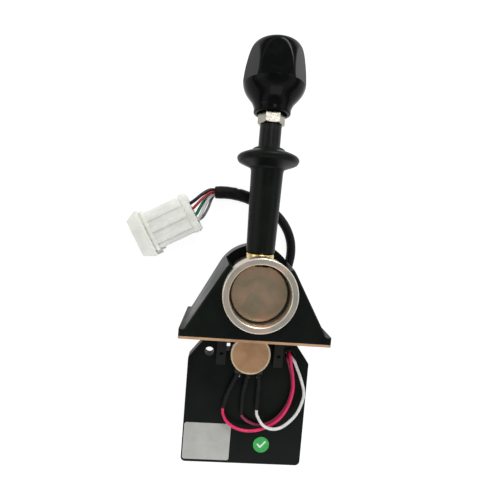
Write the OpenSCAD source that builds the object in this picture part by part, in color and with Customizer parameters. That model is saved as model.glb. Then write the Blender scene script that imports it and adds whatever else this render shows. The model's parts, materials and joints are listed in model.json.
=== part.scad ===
// Single-axis lever controller: a moulded tower with a tilting hub, a lift-to-unlock
// lever, a geared potentiometer and a control module hung under the base flange.
// It lies on its back: +X right, +Y along the lever to the knob, +Z out of the hub's face.

/* [Base and tower] */
// Length of the base flange across the lever
base_w = 90; // [84:1:96]
// Depth of the base flange along the pivot axis
base_d = 50.2; // [49:0.2:54]
// Thickness of the base flange
base_t = 4.1; // [3.5:0.1:5]
// Height of the pivot axis above the underside of the flange
pivot_h = 27.6; // [26:0.2:31]
// Radius of the tower's arch at its front face
arch_r = 24.5; // [24.3:0.1:26]
// Growth of the arch's radius towards the back
arch_draft = 2.6; // [1.6:0.1:2.7]
// Depth of the tower from its front face to its back
tower_d = 43.2; // [42:0.2:47]
// Angle of the flanks from upright
flank_angle = 30; // [29:0.5:31]
// Radius of the fillet between a flank and the flange
foot_fillet = 3; // [1:0.5:4]
// Thickness of the gasket under the flange
gasket_t = 1.5; // [1:0.1:2]
// Distance across between the mounting inserts
insert_x = 72; // [71:0.5:73]
// Distance between the mounting inserts along the pivot axis
insert_z = 36; // [35.5:0.5:36.5]
// Radius of the tapped hole in a mounting insert
insert_hole_r = 2.1; // [1.7:0.1:2.3]

/* [Hub and bearings] */
// Outer radius of the front bearing ring
ring_r = 21.5; // [21.3:0.1:21.8]
// Inner radius of the front bearing ring
ring_bore_r = 17.6; // [17.4:0.1:17.9]
// Length of the front bearing ring
ring_len = 11.5; // [10.5:0.5:12.5]
// Radius of the hub drum that carries the lever
drum_r = 20.4; // [20:0.1:20.5]
// Radius of the round hub face inside the ring
hub_face_r = 16.4; // [16.2:0.1:16.6]
// Radius of the pivot shaft
shaft_r = 5; // [4.6:0.1:5.2]
// Length of the rear bush
bush_len = 3.7; // [3:0.1:4.5]
// Thickness of the rear cover
cover_t = 7; // [6:0.5:7.5]
// Tilt of the lever each way from upright
tilt = 25; // [20:1:25]

/* [Lever] */
// Height of the knob's top above the pivot axis
knob_top = 148.5; // [144:0.5:153]
// Length of the knob
knob_h = 42.3; // [41:0.1:44]
// Largest radius of the knob
knob_r = 18.9; // [18:0.1:19.4]
// Depth of the flats round the knob
flat_depth = 2; // [1.7:0.05:2.3]
// Radius of the threaded lever rod
rod_r = 4.76; // [4.5:0.05:4.9]
// Radius of the tube under the jam nut
tube_r = 6.6; // [6.5:0.05:6.8]
// Radius of the brass collar
collar_r = 8.5; // [8.4:0.05:8.6]
// Radius of the lock sleeve at its foot
sleeve_foot_r = 8.75; // [8.6:0.05:8.85]
// Radius of the lock sleeve under its finger flange
sleeve_top_r = 9.85; // [9.5:0.05:10.2]
// Radius of the finger flange
finger_r = 18.8; // [17.5:0.1:19.5]
// Lift of the lock sleeve
lift = 6; // [4:0.5:7]
// Width across the flats of the jam nut
nut_af = 14.3; // [13.8:0.1:14.6]

/* [Gears and potentiometer] */
// Teeth on the pinion
pinion_teeth = 18; // [16:1:20]
// Gear module
gear_m = 1; // [0.9:0.05:1.1]
// Width of the gear teeth
gear_w = 4.5; // [4:0.1:5]
// Radius of the potentiometer's cover
pot_r = 12.8; // [12:0.1:13.4]
// Length of the potentiometer in front of the panel
pot_len = 8; // [7:0.2:9]
// Radius of the potentiometer's shaft
pot_shaft_r = 3.15; // [3:0.05:3.2]

/* [Control module] */
// Width of the mounting panel
panel_w = 80.4; // [78:0.2:84]
// Height of the mounting panel's foot below the pivot axis
panel_foot = 121.3; // [118:0.5:126]
// Thickness of the mounting panel
panel_t = 8; // [7.6:0.1:8.6]
// Width of the case behind the panel
case_w = 72; // [70:1:74]
// Depth of the case behind the panel
case_d = 17; // [16:0.2:18]
// Wall of the case
case_wall = 2; // [1.6:0.1:2.4]
// Radius of the through hole in the panel
hole_r = 3; // [2.5:0.1:3.2]
// Width of the label's plate
label_w = 31.1; // [28:0.1:34]
// Radius of the round sticker
sticker_r = 5.4; // [4.5:0.1:6]

/* [Cable and connector] */
// Radius of the sleeved cable
cable_r = 3.3; // [3:0.05:3.35]
// Radius of one wire
wire_r = 0.95; // [0.7:0.05:1]
// Length of the connector
plug_len = 42; // [40:0.5:44]
// Width of the connector's body
plug_w = 25.6; // [24:0.2:27]
// Height of the connector's body
plug_h = 19; // [18:0.2:20]

/* [Hidden] */

$fn = 96;
fit = 0.05;        // radial clearance of a running fit
gap = 0.3;         // clearance between parts that pass each other
edge = 0.5;        // chamfer on a turned or moulded edge
over = 1;          // how far a cut runs past a face
merge = 0.01;      // how far two joined cuts run into each other
reach = 200;       // longer than any part

// ---- Planes along the pivot axis; 0 is the lever's own plane ----
front_z = 13.2;
back_z = front_z - tower_d;
flange_back_z = front_z - base_d;
cover_back_z = back_z - cover_t;
cavity_back_z = back_z + bush_len;
gear_back_z = cavity_back_z + 0.8;
gear_front_z = gear_back_z + gear_w;
panel_back_z = gear_front_z + 1;
panel_front_z = panel_back_z + panel_t;
case_back_z = panel_back_z - case_d;
chamber_back_z = gear_front_z + 4;
drum_back_z = chamber_back_z + 0.7;
ring_back_z = collar_r + gap + 0.1;
ring_front_z = ring_back_z + ring_len;
drum_front_z = ring_back_z - 0.5;
cap_front_z = front_z + 0.4;
rest_z = min(cover_back_z, flange_back_z, case_back_z);

// ---- Heights along the lever, where 0 is the pivot axis, and radii there ----
flange_top = base_t - pivot_h;
gasket_foot = -pivot_h - gasket_t;
collar_foot = 12.4;
collar_top = drum_r + 1.9;
sleeve_foot = collar_top + gap;
knob_skirt = knob_top - knob_h;
ledge_y = knob_skirt + 16.2;
nut_h = 8.1;
nut_foot = knob_skirt - nut_h + 1.7;
nut_top = nut_foot + nut_h;
sleeve_top = nut_foot - lift - 8.2;
finger_y = sleeve_top - 6.4;
tube_step = sleeve_top - 23.2;
spring_foot = sleeve_foot + 8.4;
rod_foot = collar_foot / 2;
rod_top = knob_skirt + 21.8;
tube_neck_r = (rod_r + tube_r) / 2 - 0.38;
finger_wall_r = sleeve_top_r + 0.2;
flats_turn = 4;    // how far the knob ends up turned on its rod
knob_mouth_r = nut_af / 2 + 2.8;
knob_recess_r = nut_af / sqrt(3) + 0.85;

// ---- Tower, hub and bearings ----
arch_back_r = arch_r + arch_draft;
tower_edge = 0.8;
tower_sink = 0.15;  // how far the tower's foot reaches into the flange
chamber_r = drum_r + gap;
slot_half = 50.5;
insert_mid_z = front_z - 22.2;
insert_r = 3.1;
insert_len = 7.6;
bush_r = shaft_r + 2;
bush_flange_len = 3.4;
cover_r = 11;
cover_wall = 2;
cover_screw_r = 1.1;
cover_screw_at = 8.7;
cover_screw_angles = [30, 150, 270];
notch_half = cable_r + 0.6;
face_flat = 0.9;
face_flat_half = 4;

// ---- Centring spring, between the tower's post and the drum's tab ----
spring_room_r = 12.6;
spring_boss_r = shaft_r + 2;
spring_room_z = drum_back_z + 5.9;
spring_wire = 0.65;
spring_coil_r = 10;
spring_turns = 3;
spring_front_z = spring_room_z - 1.1;
spring_rise = 4.2;
window_half = 52;
tab_half = 2;
tab_far = 16.4;
post_near = tab_far + 1;

// ---- Gear train: the sector turns about the pivot and the pinion below it ----
pot_room = 1.6;    // from the gasket down to the potentiometer
pinion_r = pinion_teeth * gear_m / 2;
sector_teeth = round(2 * (pot_room + pot_r - gasket_foot) / gear_m) - pinion_teeth;
sector_r = sector_teeth * gear_m / 2;
pot_y = -(pinion_r + sector_r);
backlash = 0.16;
pressure = 20;
sector_side_teeth = 6;
sector_half = (sector_side_teeth + 0.5) * 360 / sector_teeth;
sector_rim_r = sector_r - 4.45;
arm_hub_r = 9.5;
cavity_half = sector_half + tilt + 2;
cavity_r = sector_r + gear_m + 1.2;
mouth_half = sqrt(pow(cavity_r, 2) - pow(pivot_h, 2));

// ---- Control module ----
panel_top = gasket_foot - 0.9;
panel_top_half = 24.8;
panel_shoulder = panel_top - 20.4;
case_top = pot_y - pinion_r - gear_m - 4.5;
case_foot = 3.3 - panel_foot;
leg_w = 6.2;
leg_t = 4;
leg_x = 18.7;
leg_hole_y = pot_y - 1.5;
leg_foot = leg_hole_y - 7.5;
leg_front_z = panel_front_z + leg_t;
leg_screw_r = 1.25;
hole_pos = [-26.6, panel_top - 15.7];
slot_pos = [-14.2, panel_top - 12];
slot_size = [2.6, 5.2];
wire_hole = [26.4, panel_top - 15.1];
wire_hole_r = 4;
case_screw_r = 1.2;
case_screw_in = 4.6;
case_screw_depth = 5.6;
screw_head_r = 2.4;
screw_head_h = 1.7;
pillar_r = 3.6;
board_t = 1.6;
board_half = case_w / 2 - 6;
board_foot = case_foot + 12;
board_top = case_top - 10;
board_back_z = case_back_z + 9.4;
board_front_z = board_back_z + board_t;
chip_w = 12;
chip_t = 2.4;
capacitor_r = 3.2;
rail_half = 1.6;
rail_x = board_half - 4;
label_h = 25.1;
label_t = 0.2;

// ---- Potentiometer ----
pot_front_z = panel_front_z + pot_len;
pot_wall = 0.5;
pot_bushing_r = pot_shaft_r + 1.6;
pot_nut_h = 2.4;
pot_nut_af = 12.65;
pot_nut_room = pot_nut_h + 1.2;
lug_x = [-6.4, 0, 6.6];
lug_z = panel_front_z + 2.2;
block_reach = pot_r + 1.4;

// ---- Cable and connector, lying on the table and turned towards the cable ----
exit_x = 16;
exit_z = case_back_z + 6;
cable_h = cable_r + 0.1;
wrap_r = cable_r + 1.1;
wrap_h = wrap_r + 0.1;
wrap_points = 5;
sleeve_r = 1.5;
plug_pos = [-44.6, 45];
plug_turn = 210;
plug_flange_w = 32;
plug_flange_h = 22;
plug_z = rest_z + plug_flange_h / 2;
plug_shoulder = plug_len - 8.6;
plug_cavity_w = 19;
plug_cavity_h = 14;
plug_floor = 15;
pin_cols = 4;
pin_rows = 3;
pin_pitch = 4.2;
pin_r = 1.05;
pin_places = [for (i = [0 : pin_cols - 1], j = [0 : pin_rows - 1])
    [(i - (pin_cols - 1) / 2) * pin_pitch, (j - (pin_rows - 1) / 2) * pin_pitch]];

// The part's frame: the middle of its length, on the surface that it lies on
mid_y = (knob_top - panel_foot) / 2;

// ---- Cord routes, hand-placed ----
// The cable and its wires, from the pivot axis and in heights above the table
cable_route = [[16, -58.2, 6], [16, -50, 6], [16, -41, 6], [16, -34, 4.6], [16, -28, cable_h],
    [16.2, -20, cable_h], [17, -11, cable_h], [19, -3, cable_h], [22, 4, cable_h], [24.6, 10, cable_h],
    [26, 17, cable_h], [26.2, 23.5, cable_h], [25.2, 30, cable_h], [22.6, 36.6, cable_h],
    [18.4, 42.9, cable_h], [12.8, 48.4, cable_h], [6, 53, (cable_h + wrap_h) / 2], [-1.8, 56.3, wrap_h],
    [-9.2, 58.6, wrap_h], [-16.8, 60.1, wrap_h], [-24.2, 60.5, wrap_h], [-31.5, 60, wrap_h]];
harness_routes = [
    [[-31.3, 62, 5.6], [-35.4, 61, 7.4], [-39.8, 57.8, 9.4], [-44, 53.6, 10.8], [-47.4, 50.7, 11],
        [-51.2, 48.5, 11]],
    [[-31.3, 60.2, 6.6], [-35, 58.8, 9.6], [-39, 54.8, 13], [-42.6, 50.2, 14.8], [-45.3, 47, 15.2],
        [-49.1, 44.8, 15.2]],
    [[-31.3, 60.6, 3.4], [-35, 58.4, 4.4], [-38.6, 53.2, 7], [-41.2, 47.6, 9.8], [-43.2, 43.4, 11],
        [-47, 41.2, 11]],
    [[-31.3, 58.3, 5.7], [-34.4, 56.4, 8.2], [-37.2, 50.4, 12], [-39.4, 43.6, 14.8], [-41.1, 39.7, 15.2],
        [-44.9, 37.5, 15.2]],
    [[-31.3, 58.4, 3.3], [-33.6, 55.2, 4], [-35.4, 48.8, 7], [-38, 42.8, 10], [-41.1, 39.7, 11],
        [-44.9, 37.5, 11]]];
// The potentiometer's wires and their sleeves, from its axis and the panel's front face
pink_route = [[-14.9, -38.5, 2.4], [-14.4, -42.9, 2.4], [-11.4, -47.9, 2.6], [-5.4, -51.7, 2.8],
    [2.8, -53.1, 3], [12.4, -51.1, 3.1], [22, -44.9, 3.1], [27.8, -35.9, 3.1], [30.4, -24.9, 3.1],
    [29.8, -15.5, 3.2], [28.1, -8.1, 3.4], [27, -2.9, 3.6], [26.5, -0.5, 1.4], [26.4, -0.3, -3],
    [26.4, -0.5, -7.6], [27, -5.5, -12.6], [27, -15.1, -13]];
red_route = [[-2.4, -42.3, 2.4], [-1.2, -44.7, 1.8], [2.8, -47.9, 1.1], [9, -49.9, 1],
    [15.6, -48.7, 1], [22, -44.1, 1], [27.4, -35.5, 1], [29.6, -24.9, 1], [28.4, -15.5, 1],
    [26.3, -8.5, 1.6], [25.5, -4.3, 2.8], [25.1, -2.5, 1], [25.1, -2.4, -3], [25.1, -2.8, -7.6],
    [25.2, -6.5, -10.6], [25.2, -15.1, -10.8]];
white_route = [[7.4, -38.5, 2.6], [8.2, -42.5, 3.4], [12.6, -47.9, 4.8], [19, -49.7, 5.2],
    [25.8, -47.3, 5.2], [33.4, -39.9, 4.4], [37.2, -30.9, 3.6], [37.6, -24.1, 3.4], [34.4, -14.5, 3.6],
    [31.3, -7.9, 3.8], [29.5, -4.1, 4], [27.9, -2.6, 1.4], [27.7, -2.4, -2], [27.7, -2.4, -7],
    [28.8, -6.1, -12], [29, -15.1, -13.2]];
sleeve_routes = [[[-6.4, -14.3, 2.2], [-9.4, -21.1, 2.2], [-12.6, -29.1, 2.2], [-14.9, -38.5, 2.4]],
    [[0, -14.3, 2.2], [-1.2, -21.5, 2.2], [-2.4, -28.9, 2.2], [-2.4, -42.3, 2.4]],
    [[6.6, -14.3, 2.2], [7.6, -21.1, 2.2], [7.4, -28.5, 2.2], [7.4, -38.5, 2.6]]];

// ---- Shared shapes ----
module placed() translate([0, -mid_y, -rest_z]) children();
module on_table() translate([0, 0, rest_z]) children();
module from_pot() translate([0, pot_y, panel_front_z]) children();
module along_y() rotate([-90, 0, 0]) children();
module disc(r, z0, z1, x = 0, y = 0) translate([x, y, z0]) cylinder(r = r, h = z1 - z0);
module block(x0, x1, y0, y1, z0, z1) translate([x0, y0, z0]) cube([x1 - x0, y1 - y0, z1 - z0]);
module prism(z0, z1) translate([0, 0, z0]) linear_extrude(z1 - z0) children();

function unit(v) = v / norm(v);
function polar(r, a) = r * [cos(a), sin(a)];
function arc(r, a0, a1, n, c = [0, 0]) = [for (i = [0 : n]) c + polar(r, a0 + (a1 - a0) * i / n)];

// A convex outline, listed anticlockwise, with each corner rounded by its own radius
function rounded(p, r, n = 6) = [for (i = [0 : len(p) - 1])
    let (a = unit(p[(i + len(p) - 1) % len(p)] - p[i]), b = unit(p[(i + 1) % len(p)] - p[i]),
        half = acos(a * b) / 2, c = p[i] + unit(a + b) * r[i] / sin(half),
        start = p[i] + a * r[i] / tan(half) - c, from = atan2(start.y, start.x))
    each arc(r[i], from, from + 180 - 2 * half, n, c)];
function rounded_box(x0, x1, y0, y1, r) =
    rounded([[x0, y0], [x1, y0], [x1, y1], [x0, y1]], [r, r, r, r]);

// A smooth line through hand-placed points
function spline(p, i, t) =
    let (a = p[max(i - 1, 0)], b = p[i], c = p[i + 1], d = p[min(i + 2, len(p) - 1)])
    0.5 * (2 * b + (c - a) * t + (2 * a - 5 * b + 4 * c - d) * t * t + (3 * b - a - 3 * c + d) * t * t * t);
function smooth(p, k) = concat([for (i = [0 : len(p) - 2]) for (j = [0 : k - 1]) spline(p, i, j / k)],
    [p[len(p) - 1]]);
function directions(p) = [for (i = [0 : len(p) - 1]) unit(p[min(i + 1, len(p) - 1)] - p[max(i - 1, 0)])];
function square_to(v, t) = unit(v - (v * t) * t);
function sideways(t) = abs(t.z) < 0.9 ? [0, 0, 1] : [1, 0, 0];

// A closed skin over rings of as many points each
module skinned(rings) {
    n = len(rings[0]);
    last = (len(rings) - 1) * n;
    walls = [for (k = [0 : len(rings) - 2]) for (i = [0 : n - 1])
        let (a = k * n + i, b = k * n + (i + 1) % n) each [[a, a + n, b + n], [a, b + n, b]]];
    polyhedron([for (ring = rings) each ring], concat(walls, [[for (i = [0 : n - 1]) i]],
        [[for (i = [n - 1 : -1 : 0]) last + i]]), convexity = 10);
}

// A round tube swept along a smoothed route, its rings turned as little as they can be
module sweep(route, r, sides = 8, steps = 2) {
    p = smooth(route, steps);
    t = directions(p);
    n = [for (i = 0, v = square_to(sideways(t[0]), t[0]); i < len(p);
        i = i + 1, v = square_to(v, t[min(i, len(p) - 1)])) v];
    skinned([for (i = [0 : len(p) - 1]) [for (j = [0 : sides - 1])
        p[i] + r * (cos(360 * j / sides) * n[i] + sin(360 * j / sides) * cross(t[i], n[i]))]]);
}

// A pan-head screw along -Z, its head's top at z = 0
module pan_screw(head_r, head_h, shank_r, len) difference() {
    union() {
        disc(head_r, -head_h, 0);
        disc(shank_r, -len, -head_h);
    }
    for (a = [0, 90]) rotate(a) block(-head_r * 0.6, head_r * 0.6, -0.25, 0.25, -head_h / 2, over);
}

// ---- Involute gears ----
function involute(rb, t) = rb * [cos(t) + t * PI / 180 * sin(t), sin(t) - t * PI / 180 * cos(t)];
function roll(rb, r) = sqrt(max(r * r / (rb * rb) - 1, 0)) * 180 / PI;
function turn(v, a) = [v.x * cos(a) - v.y * sin(a), v.x * sin(a) + v.y * cos(a)];
function half_tooth(z) = 90 / z - backlash / (z * gear_m) * 90 / PI + tan(pressure) * 180 / PI - pressure;
function flank(z, n = 5) = let (rp = z * gear_m / 2, rb = rp * cos(pressure),
    low = max(rb, rp - 1.2 * gear_m)) [for (i = [0 : n]) let (r = low + (rp + gear_m - low) * i / n)
        turn(involute(rb, roll(rb, r)), -half_tooth(z))];
function tooth(z, at) = let (f = flank(z), root = z * gear_m / 2 - 1.25 * gear_m)
    [for (v = concat([polar(root, -half_tooth(z))], f, [for (i = [len(f) - 1 : -1 : 0]) [f[i].x, -f[i].y]],
        [polar(root, half_tooth(z))])) turn(v, at)];

// ---- Tower: an arch with drafted flanks, filleted into its flange ----
foot_y = flange_top - tower_sink;
function foot_half(r, a) = (r - foot_y * sin(a)) / cos(a);
function fillet_run(a) = foot_fillet * (1 - sin(a)) / cos(a);

// A flank leans by flank_angle, or by less where its foot would pass the end of the flange
foot_limit = base_w / 2 - fillet_run(flank_angle) - 2 * tower_sink;
function flank_at(r) = min(flank_angle, acos(r / norm([foot_limit, foot_y])) - atan2(-foot_y, foot_limit));
function foot_curve(r, a) = arc(foot_fillet, 180 + a, 270, 5,
    [foot_half(r, a) + fillet_run(a), foot_y + foot_fillet]);
function tower_ring(r, z) = let (a = flank_at(r), foot = foot_curve(r, a)) [for (p = concat(
    arc(r, a, 180 - a, 60), [for (p = foot) [-p.x, p.y]], [for (i = [len(foot) - 1 : -1 : 0]) foot[i]]))
    [p.x, p.y, z]];
module tower_shell() intersection() {
    spare = tower_edge + over;
    skinned([tower_ring(arch_back_r - spare, back_z - over), tower_ring(arch_back_r, back_z + tower_edge),
        tower_ring(arch_r, front_z - tower_edge), tower_ring(arch_r - spare, front_z + over)]);
    block(-base_w, base_w, foot_y - over, reach, back_z, front_z);
}
module flange_plate(y0, y1) translate([0, y1, 0]) rotate([90, 0, 0]) linear_extrude(y1 - y0)
    polygon(rounded_box(-base_w / 2, base_w / 2, flange_back_z, front_z, 1.2));
module wedge(half, middle, z0, z1) prism(z0, z1)
    polygon([[0, 0], polar(reach, middle - half), polar(reach, middle + half)]);
module gear_cavity() {
    intersection() {
        disc(cavity_r, cavity_back_z, chamber_back_z + merge);
        wedge(cavity_half, -90, cavity_back_z, chamber_back_z + merge);
    }
    disc(arm_hub_r + 0.8, cavity_back_z, chamber_back_z + merge);
    block(-mouth_half, mouth_half, -reach, 3 - pivot_h, cavity_back_z, chamber_back_z + merge);
}
module spring_post() block(-tab_half, tab_half, -chamber_r - 0.8, -post_near, chamber_back_z + 0.6,
    spring_room_z - 0.8);
module leg(s) block(s * leg_x - leg_w / 2, s * leg_x + leg_w / 2, leg_foot, edge - pivot_h,
    panel_front_z, leg_front_z);
module insert_places() for (sx = [-1, 1], sz = [-1, 1])
    translate([sx * insert_x / 2, 0, insert_mid_z + sz * insert_z / 2]) children();
module cable_notch(y0, y1, z1)
    block(exit_x - notch_half, exit_x + notch_half, y0, y1, flange_back_z - over, z1);

module tower_housing() color([0.1, 0.11, 0.1]) placed() {
    difference() {
        union() {
            tower_shell();
            flange_plate(-pivot_h, flange_top);
            for (s = [-1, 1]) leg(s);
        }
        disc(chamber_r, chamber_back_z, ring_back_z);
        disc(ring_r + fit, ring_back_z - merge, front_z + over);
        wedge(slot_half, 90, chamber_back_z, front_z + over);
        gear_cavity();
        disc(bush_r, back_z - over, cavity_back_z + over);
        for (a = cover_screw_angles) rotate(a)
            disc(cover_screw_r, back_z - over, back_z + 2.6, cover_screw_at);
        insert_places() translate([0, -pivot_h - over, 0]) along_y()
            cylinder(r = insert_r, h = insert_len + over);
        for (s = [-1, 1])
            disc(leg_screw_r, panel_front_z - over, leg_front_z + over, s * leg_x, leg_hole_y);
        cable_notch(-pivot_h - over, flange_top + over, rest_z + cable_h + notch_half);
    }
    spring_post();
}

// The gasket's window clears all that hangs close under the flange. It is slit from there to the
// cable's notch, so that it goes on round the cable
module base_gasket() color([0.72, 0.55, 0.4]) placed() difference() {
    half = max(mouth_half, panel_top_half + 4 * gap);
    window_front_z = max(leg_front_z, pot_front_z) + gap;
    flange_plate(gasket_foot, -pivot_h);
    block(-half, half, gasket_foot - over, over - pivot_h, cavity_back_z, window_front_z);
    insert_places() translate([0, gasket_foot - over, 0]) along_y()
        cylinder(r = insert_r, h = gasket_t + 2 * over);
    cable_notch(gasket_foot - over, over - pivot_h, cavity_back_z + over);
}

module mounting_inserts() color([0.75, 0.6, 0.3]) placed() insert_places()
    translate([0, -pivot_h, 0]) along_y() difference() {
        cylinder(r = insert_r, h = insert_len);
        translate([0, 0, -over]) cylinder(r = insert_hole_r, h = insert_len - 0.8 + over);
    }

module bearing_ring() color([0.82, 0.79, 0.77]) placed() rotate_extrude() polygon([
    [ring_bore_r, ring_back_z], [ring_r, ring_back_z], [ring_r, ring_front_z - edge],
    [ring_r - edge, ring_front_z], [ring_bore_r + edge, ring_front_z], [ring_bore_r, ring_front_z - edge]]);

module front_bush() color([0.12, 0.12, 0.12]) placed() difference() {
    disc(ring_bore_r, ring_back_z, ring_back_z + bush_flange_len);
    disc(hub_face_r + fit, ring_back_z - over, ring_front_z);
}

module rear_bush() color([0.65, 0.5, 0.3]) placed() difference() {
    disc(bush_r, back_z, cavity_back_z);
    disc(shaft_r + fit, back_z - over, cavity_back_z + over);
}

module rear_cover() color([0.13, 0.14, 0.13]) placed() difference() {
    rotate_extrude() polygon([[0, cover_back_z], [cover_r - 2 * edge, cover_back_z],
        [cover_r, cover_back_z + 2 * edge], [cover_r, back_z], [0, back_z]]);
    disc(bush_r, cover_back_z + cover_wall, back_z + over);
    for (a = cover_screw_angles) rotate(a) {
        disc(cover_screw_r + 0.2, cover_back_z - over, back_z + over, cover_screw_at);
        disc(2, cover_back_z - over, cover_back_z + 1.8, cover_screw_at);
    }
}

module cover_screws() color([0.55, 0.55, 0.55]) placed() for (a = cover_screw_angles) rotate(a)
    translate([cover_screw_at, 0, cover_back_z + 0.4]) rotate([180, 0, 0])
        pan_screw(1.9, 1.4, cover_screw_r, cover_t + 1.6);

// ---- Lever body: drum, shaft and gear sector ----
module hub_drum() color([0.12, 0.12, 0.12]) placed() difference() {
    disc(drum_r, drum_back_z, drum_front_z);
    disc(shaft_r, drum_back_z - over, drum_front_z + over);
    along_y() cylinder(r = rod_r, h = drum_r + over);
    translate([0, collar_foot, 0]) along_y() cylinder(r = collar_r, h = drum_r);
    difference() {
        disc(spring_room_r, drum_back_z - over, spring_room_z);
        disc(spring_boss_r, drum_back_z - 2 * over, spring_room_z + over);
    }
    difference() {
        wedge(window_half, -90, drum_back_z - over, spring_room_z);
        disc(spring_boss_r, drum_back_z - 2 * over, spring_room_z + over);
        block(-tab_half, tab_half, -tab_far, edge - spring_room_r,
            drum_back_z - 2 * over, spring_room_z + over);
    }
}

module hub_cap() color([0.62, 0.58, 0.54]) placed() difference() {
    rotate_extrude() polygon([[0, drum_front_z], [hub_face_r, drum_front_z],
        [hub_face_r, cap_front_z - edge], [hub_face_r - edge, cap_front_z], [0, cap_front_z]]);
    along_y() cylinder(r = collar_r, h = reach);
    block(-face_flat_half, face_flat_half, hub_face_r - face_flat, hub_face_r + over,
        drum_front_z - over, cap_front_z + over);
}

module clip_groove(r, z0, z1) difference() {
    disc(r, z0, z1);
    disc(shaft_r - 0.8, z0 - over, z1 + over);
}
module pivot_shaft() color([0.7, 0.7, 0.72]) placed() difference() {
    disc(shaft_r, back_z - 4, drum_front_z);
    clip_groove(shaft_r + over, back_z - 2.2, back_z - 1.4);
}

module retaining_clip() color([0.35, 0.35, 0.37]) placed() difference() {
    clip_groove(shaft_r + 1.4, back_z - 2.1, back_z - 1.5);
    block(-shaft_r / 2, shaft_r / 2, -reach, 0, back_z - 3, back_z);
}

function sector_outline() = concat(
    [for (i = [-sector_side_teeth : sector_side_teeth])
        each tooth(sector_teeth, i * 360 / sector_teeth - 90)],
    [polar(arm_hub_r - edge, sector_half - 90), polar(arm_hub_r - edge, -90 - sector_half)]);
function sector_window(s) = let (near = arm_hub_r + 4.4) concat(
    arc(sector_rim_r, -90 + s * 7, -90 + s * (sector_half - 7), 8),
    arc(near, -90 + s * (sector_half - 10), -90 + s * 14, 4));
module sector_gear() color([0.72, 0.72, 0.7]) placed() difference() {
    union() {
        prism(gear_back_z, gear_front_z) polygon(sector_outline());
        disc(arm_hub_r, gear_back_z, gear_front_z);
        disc(spring_boss_r, gear_back_z, drum_back_z);
    }
    disc(shaft_r, gear_back_z - over, drum_back_z + over);
    for (s = [-1, 1]) prism(gear_back_z - over, gear_front_z + over) polygon(sector_window(s));
}

// Torsion spring whose legs straddle the tower's post and the drum's tab
module centering_spring() color([0.5, 0.5, 0.52]) placed() {
    leg_at = tab_half + spring_wire + gap;
    steps = spring_turns * 14 + 1;
    back_end_z = spring_front_z - spring_rise;
    sweep(concat([[leg_at, -post_near - 2.6, spring_front_z], [leg_at, -spring_coil_r - 4, spring_front_z]],
        [for (i = [0 : steps]) let (a = -54 + i * (360 * spring_turns - 72) / steps)
            [spring_coil_r * cos(a), spring_coil_r * sin(a), spring_front_z - spring_rise * i / steps]],
        [[-leg_at, -spring_coil_r - 4, back_end_z], [-leg_at, -post_near - 2.6, back_end_z]]),
        spring_wire, 6, 1);
}

// ---- Lever body: rod, collar, tube, nut and knob ----
module brass_collar() color([0.85, 0.68, 0.35]) placed() along_y() rotate_extrude() polygon([
    [rod_r, collar_foot], [collar_r, collar_foot], [collar_r, collar_top - edge],
    [collar_r - edge, collar_top], [rod_r, collar_top]]);

module lever_rod() color([0.6, 0.6, 0.6]) placed()
    translate([0, rod_foot, 0]) along_y() cylinder(r = rod_r, h = rod_top - rod_foot);

module lever_tube() color([0.14, 0.15, 0.14]) placed() along_y() rotate_extrude() polygon([
    [rod_r, collar_top], [tube_neck_r, collar_top], [tube_neck_r, tube_step], [tube_r, tube_step],
    [tube_r, nut_foot - edge], [tube_r - edge, nut_foot], [rod_r, nut_foot]]);

// Half outline of the finger flange, from its foot up: how far out from the sleeve's wall to the
// flange's rim, as a share, and the height from the flange's middle
flange_lens = [[0.08, -5.4], [0.26, -4.6], [0.59, -3.4], [0.87, -2.3], [0.96, -1.2], [1, 0], [0.95, 1.1],
    [0.8, 2.2], [0.48, 3.4], [0.2, 4.6]];
module lock_sleeve() color([0.13, 0.14, 0.13]) placed() along_y() rotate_extrude() polygon(concat(
    [[tube_neck_r + fit, sleeve_foot], [sleeve_foot_r - edge, sleeve_foot],
    [sleeve_foot_r, sleeve_foot + edge], [sleeve_top_r, finger_y - 7.8], [finger_wall_r, finger_y - 6.4]],
    [for (p = flange_lens) [finger_wall_r + p.x * (finger_r - finger_wall_r), finger_y + p.y]],
    [[finger_wall_r + 0.4, finger_y + 4.9], [finger_wall_r, finger_y + 5.3],
    [finger_wall_r, sleeve_top - 0.8], [finger_wall_r - 0.8, sleeve_top], [tube_r + fit, sleeve_top],
    [tube_r + fit, spring_foot], [tube_neck_r + fit, spring_foot]]));

module lock_spring() color([0.6, 0.6, 0.62]) placed() {
    wire = 0.5;
    steps = 9 * 12;
    coil_r = (tube_neck_r + tube_r) / 2;
    foot = spring_foot + wire + 0.1;
    rise = tube_step - spring_foot - 2 * wire - 0.2;
    sweep([for (i = [0 : steps]) [coil_r * cos(30 * i), foot + rise * i / steps, coil_r * sin(30 * i)]],
        wire, 6, 1);
}

module jam_nut() color([0.78, 0.76, 0.72]) placed() translate([0, nut_foot, 0]) along_y() difference() {
    face_r = nut_af / 2 + 0.1;
    corner_r = nut_af / sqrt(3) + 0.1;
    chamfer = (corner_r - face_r) * tan(30);
    intersection() {
        cylinder(r = nut_af / sqrt(3), h = nut_h, $fn = 6);
        rotate_extrude() polygon([[0, 0], [face_r, 0], [corner_r, chamfer], [corner_r, nut_h - chamfer],
            [face_r, nut_h], [0, nut_h]]);
    }
    translate([0, 0, -over]) cylinder(r = rod_r, h = nut_h + 2 * over);
}

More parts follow.
